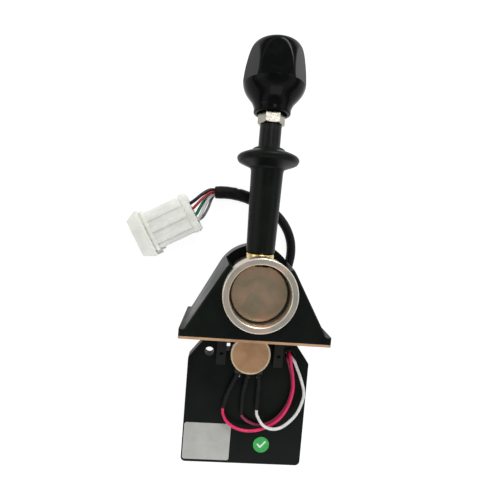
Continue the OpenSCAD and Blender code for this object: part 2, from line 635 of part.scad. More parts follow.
// Knob: a turned bulb with flats round its upper half, each above a small ledge. Its half outline
// from the mouth up is given as shares of its radius and of its length
knob_outline = [[0.588, 0.009], [0.592, 0.047], [0.612, 0.092], [0.64, 0.122], [0.677, 0.153], [0.738, 0.189],
    [0.851, 0.249], [0.927, 0.301], [0.975, 0.353], [0.996, 0.396], [1, 0.456], [0.985, 0.545], [0.962, 0.62],
    [0.934, 0.682], [0.896, 0.758], [0.864, 0.811], [0.825, 0.866], [0.777, 0.912], [0.73, 0.94], [0.66, 0.964],
    [0.55, 0.982]];
module knob() color([0.05, 0.05, 0.05]) placed() difference() {
    along_y() rotate_extrude() polygon(concat([[0, knob_top], [0, knob_skirt], [knob_mouth_r, knob_skirt]],
        [for (p = smooth(knob_outline, 2)) [p.x * knob_r, knob_skirt + p.y * knob_h]],
        [[knob_r / 5, knob_top]]));
    translate([0, knob_skirt - over, 0]) along_y()
        cylinder(r = knob_recess_r, h = nut_top - knob_skirt + over);
    translate([0, nut_top - over, 0]) along_y() cylinder(r = rod_r, h = rod_top - nut_top + over);
    for (a = [0 : 60 : 300]) rotate([0, a - flats_turn, 0]) translate([0, ledge_y, knob_r - flat_depth])
        rotate([-4, 0, 0]) translate([-knob_r, 0, 0]) cube([2 * knob_r, knob_h, knob_r]);
}

// ---- Root: panel, module case and fasteners ----
panel_outline = rounded([[-panel_w / 2, -panel_foot], [panel_w / 2, -panel_foot],
    [panel_w / 2, panel_shoulder], [panel_top_half, panel_top], [-panel_top_half, panel_top],
    [-panel_w / 2, panel_shoulder]], [3, 3, 2.2, 2.2, 2.2, 2.2]);
case_screw_places = [for (sx = [-1, 1], y = [case_top - case_screw_in, case_foot + case_screw_in])
    [sx * (case_w / 2 - case_screw_in), y]];

module mounting_panel() color([0.12, 0.13, 0.12]) placed() difference() {
    prism(panel_back_z, panel_front_z) polygon(panel_outline);
    disc(hole_r, panel_back_z - over, panel_front_z + over, hole_pos.x, hole_pos.y);
    disc(wire_hole_r, panel_back_z - over, panel_front_z + over, wire_hole.x, wire_hole.y);
    block(slot_pos.x - slot_size.x / 2, slot_pos.x + slot_size.x / 2, slot_pos.y - slot_size.y / 2,
        slot_pos.y + slot_size.y / 2, panel_back_z - over, panel_front_z + over);
    disc(pot_bushing_r, panel_back_z - over, panel_front_z + over, 0, pot_y);
    disc(pot_nut_af / 2 + 2.7, panel_back_z - over, panel_back_z + pot_nut_room, 0, pot_y);
    for (s = [-1, 1]) {
        disc(leg_screw_r + 0.1, panel_back_z - over, panel_front_z + over, s * leg_x, leg_hole_y);
        disc(screw_head_r + 0.2, panel_back_z - over, panel_back_z + 2.6, s * leg_x, leg_hole_y);
    }
    for (p = case_screw_places)
        disc(case_screw_r, panel_back_z - over, panel_back_z + case_screw_depth, p.x, p.y);
}

module case_hollow() difference() {
    side = case_w / 2 - case_wall;
    prism(case_back_z + case_wall, panel_back_z + case_wall)
        polygon(rounded_box(-side, side, case_foot + case_wall, case_top - case_wall, 2));
    for (p = case_screw_places) {
        disc(pillar_r, case_back_z, panel_back_z + 2 * case_wall, p.x, p.y);
        translate([p.x + sign(p.x) * 2, p.y, case_back_z]) linear_extrude(case_d + 2 * case_wall)
            square([4, 4.8], center = true);
    }
}
module electronics_case() color([0.1, 0.11, 0.1]) placed() difference() {
    prism(case_back_z, panel_back_z) polygon(rounded_box(-case_w / 2, case_w / 2, case_foot, case_top, 3));
    case_hollow();
    for (p = case_screw_places) {
        disc(case_screw_r + 0.15, case_back_z - over, panel_back_z + over, p.x, p.y);
        disc(screw_head_r + 0.1, case_back_z - over, case_back_z + 2.6, p.x, p.y);
    }
    translate([exit_x, case_top - case_wall - over, exit_z]) along_y()
        cylinder(r = cable_r + 0.1, h = case_wall + 2 * over);
    block(wire_hole.x - 3.6, wire_hole.x + 3.4, case_top - case_wall - over, case_top + over,
        panel_back_z - 7.4, panel_back_z - 0.9);
    for (x = [-24 : 6 : 24]) block(x - 0.8, x + 0.8, case_foot + 12, case_top - 12,
        case_back_z - over, case_back_z + 0.8);
}

module circuit_board() color([0.1, 0.35, 0.2]) placed() {
    chip_foot = board_foot + board_half / 2;
    block(-board_half, board_half, board_foot, board_top, board_back_z, board_front_z);
    block(-chip_w, 0, chip_foot, chip_foot + chip_w, board_front_z, board_front_z + chip_t);
    block(chip_w / 2, chip_w, chip_foot, chip_foot + chip_w, board_front_z, board_front_z + chip_t);
    for (s = [-1, 1]) {
        disc(capacitor_r, board_front_z, board_front_z + 1.5 * capacitor_r,
            s * (board_half - 2.5 * capacitor_r), board_foot + 1.5 * capacitor_r);
        block(s * rail_x - rail_half, s * rail_x + rail_half, board_foot + rail_half, board_top - rail_half,
            case_back_z + case_wall, board_back_z);
    }
}

module case_screws() color([0.5, 0.5, 0.5]) placed() for (p = case_screw_places)
    translate([p.x, p.y, case_back_z + 0.9]) rotate([180, 0, 0])
        pan_screw(screw_head_r, screw_head_h, case_screw_r, case_d + case_screw_depth - 2);

module leg_screws() color([0.5, 0.5, 0.5]) placed() for (s = [-1, 1])
    translate([s * leg_x, leg_hole_y, panel_back_z + 0.9]) rotate([180, 0, 0])
        pan_screw(screw_head_r, screw_head_h, leg_screw_r, panel_t + leg_t - 2.4);

// ---- Potentiometer and pinion ----
module pot_body() color([0.15, 0.14, 0.12]) placed() difference() {
    union() {
        disc(pot_r - pot_wall, panel_front_z, pot_front_z - 0.6, 0, pot_y);
        disc(pot_bushing_r, panel_back_z + 0.6, panel_front_z, 0, pot_y);
        block(-9, 9, pot_y - block_reach, pot_y - 4, panel_front_z + 0.6, panel_front_z + 3.8);
    }
    disc(pot_shaft_r + fit, panel_back_z - over, panel_front_z + 4, 0, pot_y);
}

module pot_cover() color([0.74, 0.56, 0.42]) placed() from_pot() rotate_extrude() polygon([
    [0, pot_len - 0.6], [pot_r - pot_wall, pot_len - 0.6], [pot_r - pot_wall, pot_len / 2 + 0.1],
    [pot_r, pot_len / 2 + 0.1], [pot_r, pot_len - 0.3], [pot_r - 0.3, pot_len], [pot_r - 0.9, pot_len],
    [pot_r - 1.1, pot_len - 0.2], [0, pot_len - 0.2]]);

module pot_nut() color([0.7, 0.7, 0.7]) placed()
    translate([0, pot_y, panel_back_z + pot_nut_room - pot_nut_h]) difference() {
        cylinder(r = pot_nut_af / sqrt(3), h = pot_nut_h, $fn = 6);
        translate([0, 0, -over]) cylinder(r = pot_bushing_r, h = pot_nut_h + 2 * over);
    }

module pot_terminals() color([0.8, 0.8, 0.8]) placed() for (x = lug_x)
    block(x - 1.1, x + 1.1, pot_y - block_reach - 3, pot_y - block_reach, lug_z - 0.4, lug_z + 0.4);

module pot_shaft() color([0.72, 0.72, 0.74]) placed()
    disc(pot_shaft_r, gear_back_z - 0.6, panel_front_z + 3.7, 0, pot_y);

module pinion() color([0.78, 0.62, 0.35]) placed() translate([0, pot_y, gear_back_z - gap]) difference() {
    linear_extrude(gear_w + 2 * gap) polygon([for (i = [0 : pinion_teeth - 1])
        each tooth(pinion_teeth, 90 + (i + 0.5) * 360 / pinion_teeth)]);
    translate([0, 0, -over]) cylinder(r = pot_shaft_r, h = gear_w + 3 * over);
}

// ---- Wiring held by the part ----
module wire_sleeves() color([0.2, 0.21, 0.2]) placed() from_pot()
    for (r = sleeve_routes) sweep(r, sleeve_r, 8, 3);
module pot_wire_pink() color([0.93, 0.2, 0.55]) placed() from_pot() sweep(pink_route, wire_r);
module pot_wire_red() color([0.75, 0.25, 0.42]) placed() from_pot() sweep(red_route, wire_r);
module pot_wire_white() color([0.93, 0.93, 0.93]) placed() from_pot() sweep(white_route, wire_r);
module wire_grommet() color([0.08, 0.08, 0.08]) placed()
    translate([wire_hole.x, wire_hole.y, panel_front_z]) rotate_extrude() polygon([
        [wire_hole_r - 1.4, -panel_t], [wire_hole_r, -panel_t], [wire_hole_r, 0], [wire_hole_r + edge, 0],
        [wire_hole_r + 0.2, 0.6], [wire_hole_r - 1.1, 0.6], [wire_hole_r - 1.4, 0.3]]);

module strain_relief() color([0.07, 0.07, 0.07]) placed() translate([exit_x, case_top, exit_z]) along_y()
    rotate_extrude() polygon([[cable_r + fit, 0], [cable_r + 2.1, 0], [cable_r + 2.1, 1.6],
        [cable_r + 1.6, 2.2], [cable_r + 1.6, 3.4], [cable_r + 0.6, 17.2], [cable_r + fit, 17.2]]);

module main_cable() color([0.06, 0.06, 0.06]) placed() on_table() {
    sweep(cable_route, cable_r, 10, 2);
    last = len(cable_route) - 1;
    sweep([for (i = [last - wrap_points + 1 : last]) cable_route[i]], wrap_r, 12, 2);
}
module harness_wires() color([0.2, 0.5, 0.35]) placed() on_table()
    for (r = harness_routes) sweep(r, wire_r, 8, 2);

// ---- Connector: a nylon shell with a flared, hollow mating end ----
module plug_frame() translate([plug_pos.x, plug_pos.y, plug_z]) rotate([0, 0, plug_turn]) children();
module plug_block(x0, x1, w, h) block(x0, x1, -w / 2, w / 2, -h / 2, h / 2);
module connector_housing() color([0.9, 0.91, 0.9]) placed() plug_frame() difference() {
    union() {
        plug_block(0, plug_shoulder, plug_w, plug_h);
        plug_block(1.2, 4.4, plug_w + 1.4, plug_h + 1);
        for (y = [-8, 0, 8])
            block(5, plug_shoulder - 1, y - 1.6, y + 1.6, -plug_h / 2 - 0.6, plug_h / 2 + 0.6);
        plug_block(plug_shoulder - 3.6, plug_shoulder - 1.6, plug_w + 2.6, plug_h + 1.6);
        hull() {
            plug_block(plug_shoulder - 0.6, plug_shoulder + 1.2, plug_flange_w, plug_flange_h);
            plug_block(plug_len - 0.1, plug_len, plug_flange_w - 7, plug_flange_h - 4);
        }
    }
    plug_block(plug_floor, plug_len + over, plug_cavity_w, plug_cavity_h);
    for (p = pin_places) translate([0, p.x, p.y]) rotate([0, 90, 0]) {
        translate([0, 0, -over]) cylinder(r = pin_r + gap, h = 6 + over, $fn = 24);
        cylinder(r = pin_r, h = plug_floor + over, $fn = 24);
    }
}
module connector_pins() color([0.85, 0.75, 0.5]) placed() plug_frame() for (p = pin_places)
    translate([6, p.x, p.y]) rotate([0, 90, 0]) cylinder(r = pin_r, h = plug_floor + 6, $fn = 24);

// ---- Bare label and sticker ----
module blank_label() color([0.93, 0.93, 0.92]) placed() prism(panel_front_z, panel_front_z + label_t)
    translate([0.8 - panel_w / 2, 1.8 - panel_foot]) polygon(rounded_box(0, label_w, 0, label_h, 1.6));
module check_sticker() color([0.2, 0.66, 0.36]) placed()
    disc(sticker_r, panel_front_z, panel_front_z + label_t, panel_w / 2 - 27.3, 13.6 - panel_foot);

tower_housing();
base_gasket();
mounting_inserts();
bearing_ring();
front_bush();
rear_bush();
rear_cover();
cover_screws();
hub_drum();
hub_cap();
pivot_shaft();
retaining_clip();
sector_gear();
centering_spring();
brass_collar();
lever_rod();
lever_tube();
lock_sleeve();
lock_spring();
jam_nut();
knob();
mounting_panel();
electronics_case();
circuit_board();
case_screws();
leg_screws();
pot_body();
pot_cover();
pot_nut();
pot_terminals();
pot_shaft();
pinion();
wire_sleeves();
pot_wire_pink();
pot_wire_red();
pot_wire_white();
wire_grommet();
strain_relief();
main_cable();
harness_wires();
connector_housing();
connector_pins();
blank_label();
check_sticker();
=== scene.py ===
import json
import math

import bmesh
import bpy
import numpy as np
from mathutils import Matrix, Vector

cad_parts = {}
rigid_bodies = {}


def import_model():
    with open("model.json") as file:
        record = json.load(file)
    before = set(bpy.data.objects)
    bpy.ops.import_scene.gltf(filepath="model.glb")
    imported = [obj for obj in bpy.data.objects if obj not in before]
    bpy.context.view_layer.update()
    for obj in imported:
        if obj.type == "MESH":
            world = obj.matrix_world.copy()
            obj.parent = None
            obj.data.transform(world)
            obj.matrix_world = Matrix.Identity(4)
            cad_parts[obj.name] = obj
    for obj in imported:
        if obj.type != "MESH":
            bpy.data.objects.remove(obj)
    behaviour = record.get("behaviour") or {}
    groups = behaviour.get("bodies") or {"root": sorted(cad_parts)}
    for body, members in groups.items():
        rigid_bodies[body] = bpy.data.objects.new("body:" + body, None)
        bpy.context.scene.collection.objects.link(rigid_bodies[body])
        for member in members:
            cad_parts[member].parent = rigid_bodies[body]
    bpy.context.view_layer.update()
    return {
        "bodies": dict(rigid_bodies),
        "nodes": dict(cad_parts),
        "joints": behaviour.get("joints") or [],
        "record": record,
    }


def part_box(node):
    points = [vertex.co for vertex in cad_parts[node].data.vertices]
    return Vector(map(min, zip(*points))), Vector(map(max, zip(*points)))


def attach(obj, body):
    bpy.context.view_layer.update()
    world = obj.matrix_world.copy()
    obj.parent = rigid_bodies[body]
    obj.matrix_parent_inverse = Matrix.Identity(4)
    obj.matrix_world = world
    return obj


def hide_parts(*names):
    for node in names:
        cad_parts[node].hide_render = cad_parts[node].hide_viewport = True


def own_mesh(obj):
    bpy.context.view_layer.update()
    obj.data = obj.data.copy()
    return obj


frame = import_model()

# An industrial joystick that lies on its back: +X right, +Y up the lever, +Z out of the hub's face.
nodes = frame["nodes"]
scene = bpy.context.scene
mm = 0.001

# Places are counted in millimetres from the middle of the lever's pivot, heights from the table.
leverTilt = next(joint for joint in frame["joints"] if joint["name"] == "lever_tilt")
potSpin = next(joint for joint in frame["joints"] if joint["name"] == "pot_spin")
pivot = Vector(leverTilt["pos_m"])
potAxis = Vector(potSpin["pos_m"])
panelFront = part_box("mounting_panel")[1].z


def at(x, y, z):
    return pivot + Vector((x, y, z)) * mm


def onTable(x, y, height):
    return Vector((pivot.x + x * mm, pivot.y + y * mm, height * mm))


def fromPot(x, y, z):
    return Vector((potAxis.x + x * mm, potAxis.y + y * mm, panelFront + z * mm))


# The camera looks straight down at the object, a little from the left.
cameraSetup = {"lens": 23.905, "place": (-23.661, 38.999, 194.36), "pitch": 0.0489, "yaw": 0.0546, "roll": -0.0811}


def makeCamera(setup):
    data = bpy.data.cameras.new("camera")
    data.lens = setup["lens"]
    data.sensor_width = 36.0
    data.clip_start = 0.005
    data.clip_end = 20.0
    camera = bpy.data.objects.new("camera", data)
    scene.collection.objects.link(camera)
    turn = Matrix.Rotation(setup["roll"], 3, "Z") @ Matrix.Rotation(setup["pitch"], 3, "X")
    turn = turn @ Matrix.Rotation(setup["yaw"], 3, "Y")
    camera.matrix_world = Matrix.Translation(at(*setup["place"])) @ turn.transposed().to_4x4()
    scene.camera = camera


makeCamera(cameraSetup)
print("camera ready")


# Small helpers for node trees.
def newMaterial(name):
    material = bpy.data.materials.new(name)
    material.use_nodes = True
    tree = material.node_tree
    shader = tree.nodes["Principled BSDF"]
    return material, tree, shader


def feed(tree, socket, value):
    if isinstance(value, bpy.types.NodeSocket):
        tree.links.new(value, socket)
    else:
        socket.default_value = value


def addNode(tree, kind, settings=None, **inputs):
    node = tree.nodes.new(kind)
    for key, value in (settings or {}).items():
        setattr(node, key, value)
    for key, value in inputs.items():
        feed(tree, node.inputs[key.replace("_", " ")], value)
    return node


def objectPlace(tree, centre=None, stretch=(1, 1, 1), turn=(0, 0, 0)):
    place = tree.nodes.new("ShaderNodeTexCoord").outputs["Object"]
    if centre is None and stretch == (1, 1, 1) and turn == (0, 0, 0):
        return place
    moved = addNode(tree, "ShaderNodeVectorMath", {"operation": "SUBTRACT"})
    tree.links.new(place, moved.inputs[0])
    moved.inputs[1].default_value = centre or (0, 0, 0)
    mapping = addNode(tree, "ShaderNodeMapping", Vector=moved.outputs[0], Scale=stretch, Rotation=turn)
    return mapping.outputs[0]


def noise(tree, place, scale, detail=3.0, roughness=0.55, distortion=0.0):
    node = addNode(tree, "ShaderNodeTexNoise", Vector=place, Scale=scale, Detail=detail,
                   Roughness=roughness, Distortion=distortion)
    return node.outputs["Fac"]


def maths(tree, operation, a, b=0.5):
    node = addNode(tree, "ShaderNodeMath", {"operation": operation})
    feed(tree, node.inputs[0], a)
    feed(tree, node.inputs[1], b)
    return node.outputs[0]


def between(tree, share, low, high, fromLow=0.0, fromHigh=1.0):
    node = addNode(tree, "ShaderNodeMapRange", Value=share, From_Min=fromLow, From_Max=fromHigh,
                   To_Min=low, To_Max=high)
    return node.outputs[0]


def colourMix(tree, share, first, second):
    node = addNode(tree, "ShaderNodeMix", {"data_type": "RGBA"})
    for name, value in (("Factor_Float", share), ("A_Color", first), ("B_Color", second)):
        socket = next(s for s in node.inputs if s.identifier == name)
        feed(tree, socket, (*value, 1.0) if isinstance(value, tuple) else value)
    return next(s for s in node.outputs if s.identifier == "Result_Color")


def bump(tree, height, depth, strength=1.0):
    return addNode(tree, "ShaderNodeBump", Height=height, Distance=depth * mm, Strength=strength).outputs[0]


def setShader(tree, shader, **values):
    for key, value in values.items():
        plain = key.endswith("Color") and isinstance(value, tuple)
        feed(tree, shader.inputs[key.replace("_", " ")], (*value, 1.0) if plain else value)


def scaled(colour, factor):
    return tuple(min(channel * factor, 1.0) for channel in colour)


def mottled(tree, share, colour, dark, light, low=0.3, high=0.7):
    return colourMix(tree, between(tree, share, 0, 1, low, high), scaled(colour, dark), scaled(colour, light))


def fromAxis(tree, place):
    # Distance from the pattern's own Z axis
    flat = addNode(tree, "ShaderNodeVectorMath", {"operation": "MULTIPLY"})
    feed(tree, flat.inputs[0], place)
    flat.inputs[1].default_value = (1, 1, 0)
    length = addNode(tree, "ShaderNodeVectorMath", {"operation": "LENGTH"})
    feed(tree, length.inputs[0], flat.outputs[0])
    return length.outputs["Value"]


def newObject(name, data):
    made = bpy.data.objects.new(name, data)
    scene.collection.objects.link(made)
    return made


# Finishes. Colours are linear, sizes of a pattern are per metre of the object.
def mouldedPlastic(name, colour, roughness=0.42, grain=0.012, specular=0.35, scuffs=0.25):
    material, tree, shader = newMaterial(name)
    place = objectPlace(tree)
    cloud = noise(tree, place, 70, 4)
    pores = noise(tree, place, 2600, 2, 0.6)
    streak = noise(tree, objectPlace(tree, (0, 0, 0), (900, 45, 900), (0, 0, 0.5)), 1.0, 3, 0.6)
    scuff = between(tree, streak, 0, 1, 0.62, 0.78)
    tone = mottled(tree, cloud, colour, 0.78, 1.25)
    tone = colourMix(tree, maths(tree, "MULTIPLY", scuff, scuffs), tone, scaled(colour, 2.6))
    rough = between(tree, cloud, roughness - 0.06, roughness + 0.07, 0.3, 0.7)
    rough = maths(tree, "ADD", rough, maths(tree, "MULTIPLY", pores, 0.05))
    height = maths(tree, "ADD", pores, maths(tree, "MULTIPLY", cloud, 0.4))
    setShader(tree, shader, Base_Color=tone, Roughness=rough, Normal=bump(tree, height, grain, 0.6))
    setShader(tree, shader, Specular_IOR_Level=specular)
    return material


def glossPlastic(name, colour, roughness):
    material, tree, shader = newMaterial(name)
    place = objectPlace(tree)
    smear = noise(tree, place, 160, 5, 0.65, 0.6)
    dust = noise(tree, place, 3400, 1)
    tone = mottled(tree, smear, colour, 0.8, 1.3, 0.35, 0.7)
    rough = between(tree, smear, roughness, roughness + 0.1, 0.4, 0.75)
    rough = maths(tree, "ADD", rough, between(tree, dust, 0, 0.12, 0.66, 0.8))
    wave = maths(tree, "ADD", noise(tree, place, 90, 2), maths(tree, "MULTIPLY", dust, 0.03))
    setShader(tree, shader, Base_Color=tone, Roughness=rough, Normal=bump(tree, wave, 0.12, 0.25))
    setShader(tree, shader, Specular_IOR_Level=0.075)
    return material


def turnedMetal(name, colour, tint, roughness, centre, axis="z", pitch=0.12, depth=0.004, patches=0.6):
    material, tree, shader = newMaterial(name)
    turn = {"z": (0, 0, 0), "y": (math.pi / 2, 0, 0)}[axis]
    place = objectPlace(tree, tuple(centre), (1, 1, 1), turn)
    groove = maths(tree, "SINE", maths(tree, "MULTIPLY", fromAxis(tree, place), 2 * math.pi / (pitch * mm)), 0)
    chatter = noise(tree, place, 900, 3)
    cloud = noise(tree, place, 85, 4, 0.6, 0.4)
    share = between(tree, cloud, 0, patches, 0.38, 0.66)
    tone = colourMix(tree, share, colour, tint)
    tone = colourMix(tree, between(tree, chatter, 0, 0.25, 0.5, 0.8), tone, scaled(colour, 1.25))
    rough = between(tree, cloud, roughness - 0.05, roughness + 0.08, 0.35, 0.7)
    height = maths(tree, "ADD", maths(tree, "MULTIPLY", groove, 0.5), chatter)
    setShader(tree, shader, Base_Color=tone, Roughness=rough, Metallic=1.0, Normal=bump(tree, height, depth, 0.8))
    return material


def platedMetal(name, colour, roughness=0.28, spots=0.3, grain=900, stretch=(1, 1, 1)):
    material, tree, shader = newMaterial(name)
    place = objectPlace(tree, (0, 0, 0), stretch)
    cloud = noise(tree, place, 130, 4, 0.6)
    fine = noise(tree, place, grain, 3)
    tone = colourMix(tree, between(tree, cloud, 0, spots, 0.4, 0.7), colour, scaled(colour, 0.6))
    rough = between(tree, fine, roughness - 0.06, roughness + 0.1, 0.3, 0.7)
    setShader(tree, shader, Base_Color=tone, Roughness=rough, Metallic=1.0, Normal=bump(tree, fine, 0.006, 0.5))
    return material


def paintedHighlightBands(name, colour, dark, light, centre, bands=11, roughness=0.26):
    # A turned brass collar with painted highlight and painted shade bands along its length, in place of the light its
    # facets would catch
    material, tree, shader = newMaterial(name)
    place = objectPlace(tree, tuple(centre))
    parts = addNode(tree, "ShaderNodeSeparateXYZ", Vector=place)
    angle = maths(tree, "ARCTAN2", parts.outputs["X"], parts.outputs["Z"])
    wobble = noise(tree, place, 220, 2)
    turns = maths(tree, "ADD", maths(tree, "MULTIPLY", angle, bands), maths(tree, "MULTIPLY", wobble, 3.0))
    share = between(tree, maths(tree, "SINE", turns, 0), 0, 1, -0.8, 0.9)
    tone = colourMix(tree, share, dark, light)
    tone = colourMix(tree, between(tree, noise(tree, place, 420, 3), 0, 0.5, 0.45, 0.7), tone, colour)
    lines = noise(tree, objectPlace(tree, tuple(centre), (60, 5200, 60)), 1.0, 2)
    rough = between(tree, wobble, roughness - 0.05, roughness + 0.08, 0.3, 0.7)
    setShader(tree, shader, Base_Color=tone, Roughness=rough, Metallic=1.0, Normal=bump(tree, lines, 0.006, 0.6))
    return material


def softRubber(name, colour, roughness, grain, scale):
    material, tree, shader = newMaterial(name)
    place = objectPlace(tree)
    cloud = noise(tree, place, 120, 3)
    grit = noise(tree, place, scale, 3, 0.65)
    tone = mottled(tree, cloud, colour, 0.8, 1.25)
    rough = between(tree, grit, roughness - 0.05, roughness + 0.1, 0.3, 0.7)
    setShader(tree, shader, Base_Color=tone, Roughness=rough, Normal=bump(tree, grit, grain, 0.6))
    setShader(tree, shader, Specular_IOR_Level=0.16)
    return material


def wireSheath(name, colour, roughness=0.34):
    # Extruded insulation: fine lines along the wire from its own "around" and "along" values
    material, tree, shader = newMaterial(name)
    around = addNode(tree, "ShaderNodeAttribute", {"attribute_name": "around"}).outputs["Fac"]
    along = addNode(tree, "ShaderNodeAttribute", {"attribute_name": "along"}).outputs["Fac"]
    place = addNode(tree, "ShaderNodeCombineXYZ", X=maths(tree, "MULTIPLY", around, 6.0),
                    Y=maths(tree, "MULTIPLY", along, 60.0)).outputs[0]
    lines = noise(tree, place, 5.0, 3, 0.6)
    cloud = noise(tree, objectPlace(tree), 240, 3)
    tone = mottled(tree, cloud, colour, 0.84, 1.12)
    tone = colourMix(tree, between(tree, lines, 0, 0.3, 0.5, 0.8), tone, scaled(colour, 0.7))
    rough = between(tree, lines, roughness - 0.05, roughness + 0.1, 0.3, 0.7)
    setShader(tree, shader, Base_Color=tone, Roughness=rough, Normal=bump(tree, lines, 0.01, 0.5))
    setShader(tree, shader, Specular_IOR_Level=0.5)
    return material


# Shapes. Each piece is made in place, and its object stays at the origin.
def newPiece(name, mesh, material, body, replaced, sharp=30, level=True):
    mesh.name = name
    mesh.materials.clear()
    mesh.materials.append(material)
    mesh.shade_smooth()
    mesh.set_sharp_from_angle(angle=math.radians(sharp))
    piece = newObject(name, mesh)
    if level:
        shade = piece.modifiers.new("levelFaces", "WEIGHTED_NORMAL")  # flat faces stay flat beside soft edges
        shade.keep_sharp = True
    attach(piece, body)
    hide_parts(*replaced)
    return piece


def meshFrom(work, name):
    mesh = bpy.data.meshes.new(name)
    work.to_mesh(mesh)
    work.free()
    return mesh


def faceOutwards(mesh):
    work = bmesh.new()
    work.from_mesh(mesh)
    bmesh.ops.recalc_face_normals(work, faces=work.faces)
    work.to_mesh(mesh)
    work.free()
    return mesh


def rounded(corners, steps=4):
    # A closed half outline of (radius, height, roundness), its corners rounded
    outline = []
    for i, (x, y, roundness) in enumerate(corners):
        here = np.array((x, y), float)
        back = np.array(corners[i - 1][:2], float) - here
        ahead = np.array(corners[(i + 1) % len(corners)][:2], float) - here
        reachBack, reachAhead = np.linalg.norm(back), np.linalg.norm(ahead)
        if roundness <= 0:
            outline.append((x, y))
            continue
        start = here + back / reachBack * min(roundness, 0.45 * reachBack)
        end = here + ahead / reachAhead * min(roundness, 0.45 * reachAhead)
        for step in range(steps + 1):
            u = step / steps
            outline.append(tuple((1 - u) ** 2 * start + 2 * u * (1 - u) * here + u * u * end))
    return outline


def turnedMesh(outline, axis, centre, segments=144):
    # A closed outline of (radius, height) turned about an axis; a radius may follow the angle
    vertices, faces, count = [], [], len(outline)
    for j in range(segments):
        turn = 2 * math.pi * j / segments
        s, c = math.sin(turn), math.cos(turn)
        for radius, h in outline:
            r = radius(turn) if callable(radius) else radius
            offset = (r * s, h, r * c) if axis == "y" else (r * c, r * s, h)
            vertices.append(centre + Vector(offset) * mm)
    onAxis = [not callable(radius) and radius <= 1e-6 for radius, h in outline]
    for j in range(segments):
        k = (j + 1) % segments
        for i in range(count):
            n = (i + 1) % count
            if not (onAxis[i] and onAxis[n]):
                faces.append((j * count + i, j * count + n, k * count + n, k * count + i))
    work = bmesh.new()
    points = [work.verts.new(v) for v in vertices]
    for face in faces:
        work.faces.new([points[i] for i in face])
    bmesh.ops.remove_doubles(work, verts=work.verts, dist=1e-6)
    bmesh.ops.recalc_face_normals(work, faces=work.faces)
    return meshFrom(work, "turned")


def smoothLine(points, steps):
    points = [np.array(p, float) for p in points]
    line = []
    for i in range(len(points) - 1):
        a, b, c, d = points[max(i - 1, 0)], points[i], points[i + 1], points[min(i + 2, len(points) - 1)]
        for step in range(steps):
            t = step / steps
            line.append(0.5 * (2 * b + (c - a) * t + (2 * a - 5 * b + 4 * c - d) * t * t
                               + (3 * b - a - 3 * c + d) * t ** 3))
    return line + [points[-1]]


def framesAlong(line):
    frames, side = [], None
    for i, point in enumerate(line):
        ahead = line[min(i + 1, len(line) - 1)] - line[max(i - 1, 0)]
        ahead = ahead / np.linalg.norm(ahead)
        if side is None:
            side = np.array((0, 0, 1.0)) if abs(ahead[2]) < 0.9 else np.array((1.0, 0, 0))
        side = side - ahead * side.dot(ahead)
        side = side / np.linalg.norm(side)
        frames.append((point, ahead, side, np.cross(ahead, side)))
    return frames


def sleeveMesh(line, radiusAt, sides=28, bore=0.0, boreDepth=0.0):
    # A tube along a line of points, with a hollow mouth at its far end if it has a bore
    frames = framesAlong(line)
    lengths = np.cumsum([0.0] + [np.linalg.norm(b - a) for a, b in zip(line, line[1:])])
    rings = [(frame, length, None) for frame, length in zip(frames, lengths)]
    if bore:
        inner = [(f, l, bore) for f, l in zip(frames, lengths) if l > lengths[-1] - boreDepth]
        rings += inner[::-1]
    vertices, faces, around, along = [], [], [], []
    for (point, ahead, side, cross), length, inside in rings:
        for j in range(sides):
            angle = 2 * math.pi * j / sides
            r = inside * mm if inside else radiusAt(length, angle, lengths[-1]) * mm
            vertices.append(point + r * (math.cos(angle) * side + math.sin(angle) * cross))
            around.append(j / sides)
            along.append(length)
    for i in range(len(rings) - 1):
        for j in range(sides):
            k = (j + 1) % sides
            faces.append((i * sides + j, i * sides + k, (i + 1) * sides + k, (i + 1) * sides + j))
    faces.append(tuple(range(sides))[::-1])
    faces.append(tuple((len(rings) - 1) * sides + j for j in range(sides)))
    mesh = bpy.data.meshes.new("sleeve")
    mesh.from_pydata([tuple(v) for v in vertices], [], faces)
    for key, values in (("around", around), ("along", along)):
        mesh.attributes.new(key, "FLOAT", "POINT").data.foreach_set("value", values)
    return faceOutwards(mesh)


def nodeCopy(node, width=0.0, shortest=0.6, angle=35, segments=2):
    # A copy of a CAD node's mesh with its flat faces joined and its long sharp edges softened
    work = bmesh.new()
    work.from_mesh(nodes[node].data)
    bmesh.ops.remove_doubles(work, verts=work.verts, dist=2e-6)
    bmesh.ops.dissolve_degenerate(work, edges=work.edges, dist=2e-6)
    bmesh.ops.dissolve_limit(work, angle_limit=math.radians(0.6), verts=work.verts, edges=work.edges)
    if width:
        limit = math.radians(angle)
        chosen = [e for e in work.edges if len(e.link_faces) == 2 and e.calc_length() > shortest * mm
                  and e.calc_face_angle(0) > limit]
        bmesh.ops.bevel(work, geom=chosen, offset=width * mm, segments=segments, profile=0.5,
                        affect="EDGES", clamp_overlap=True)
    return meshFrom(work, node)


# Geometry Nodes: one tree sweeps insulation along a path, one sets a piece at each of a few places.
def startTree(name, sockets):
    tree = bpy.data.node_groups.new(name, "GeometryNodeTree")
    for label, kind in sockets:
        tree.interface.new_socket(label, in_out="INPUT", socket_type=kind)
    tree.interface.new_socket("Geometry", in_out="OUTPUT", socket_type="NodeSocketGeometry")
    return tree, tree.nodes.new("NodeGroupInput"), tree.nodes.new("NodeGroupOutput")


def endTree(tree, geometry, material, result):
    # Both trees end by making the geometry real and giving it its finish
    realize = addNode(tree, "GeometryNodeRealizeInstances", Geometry=geometry)
    finish = addNode(tree, "GeometryNodeSetMaterial", Geometry=realize.outputs[0], Material=material)
    feed(tree, result.inputs["Geometry"], finish.outputs[0])
    return tree


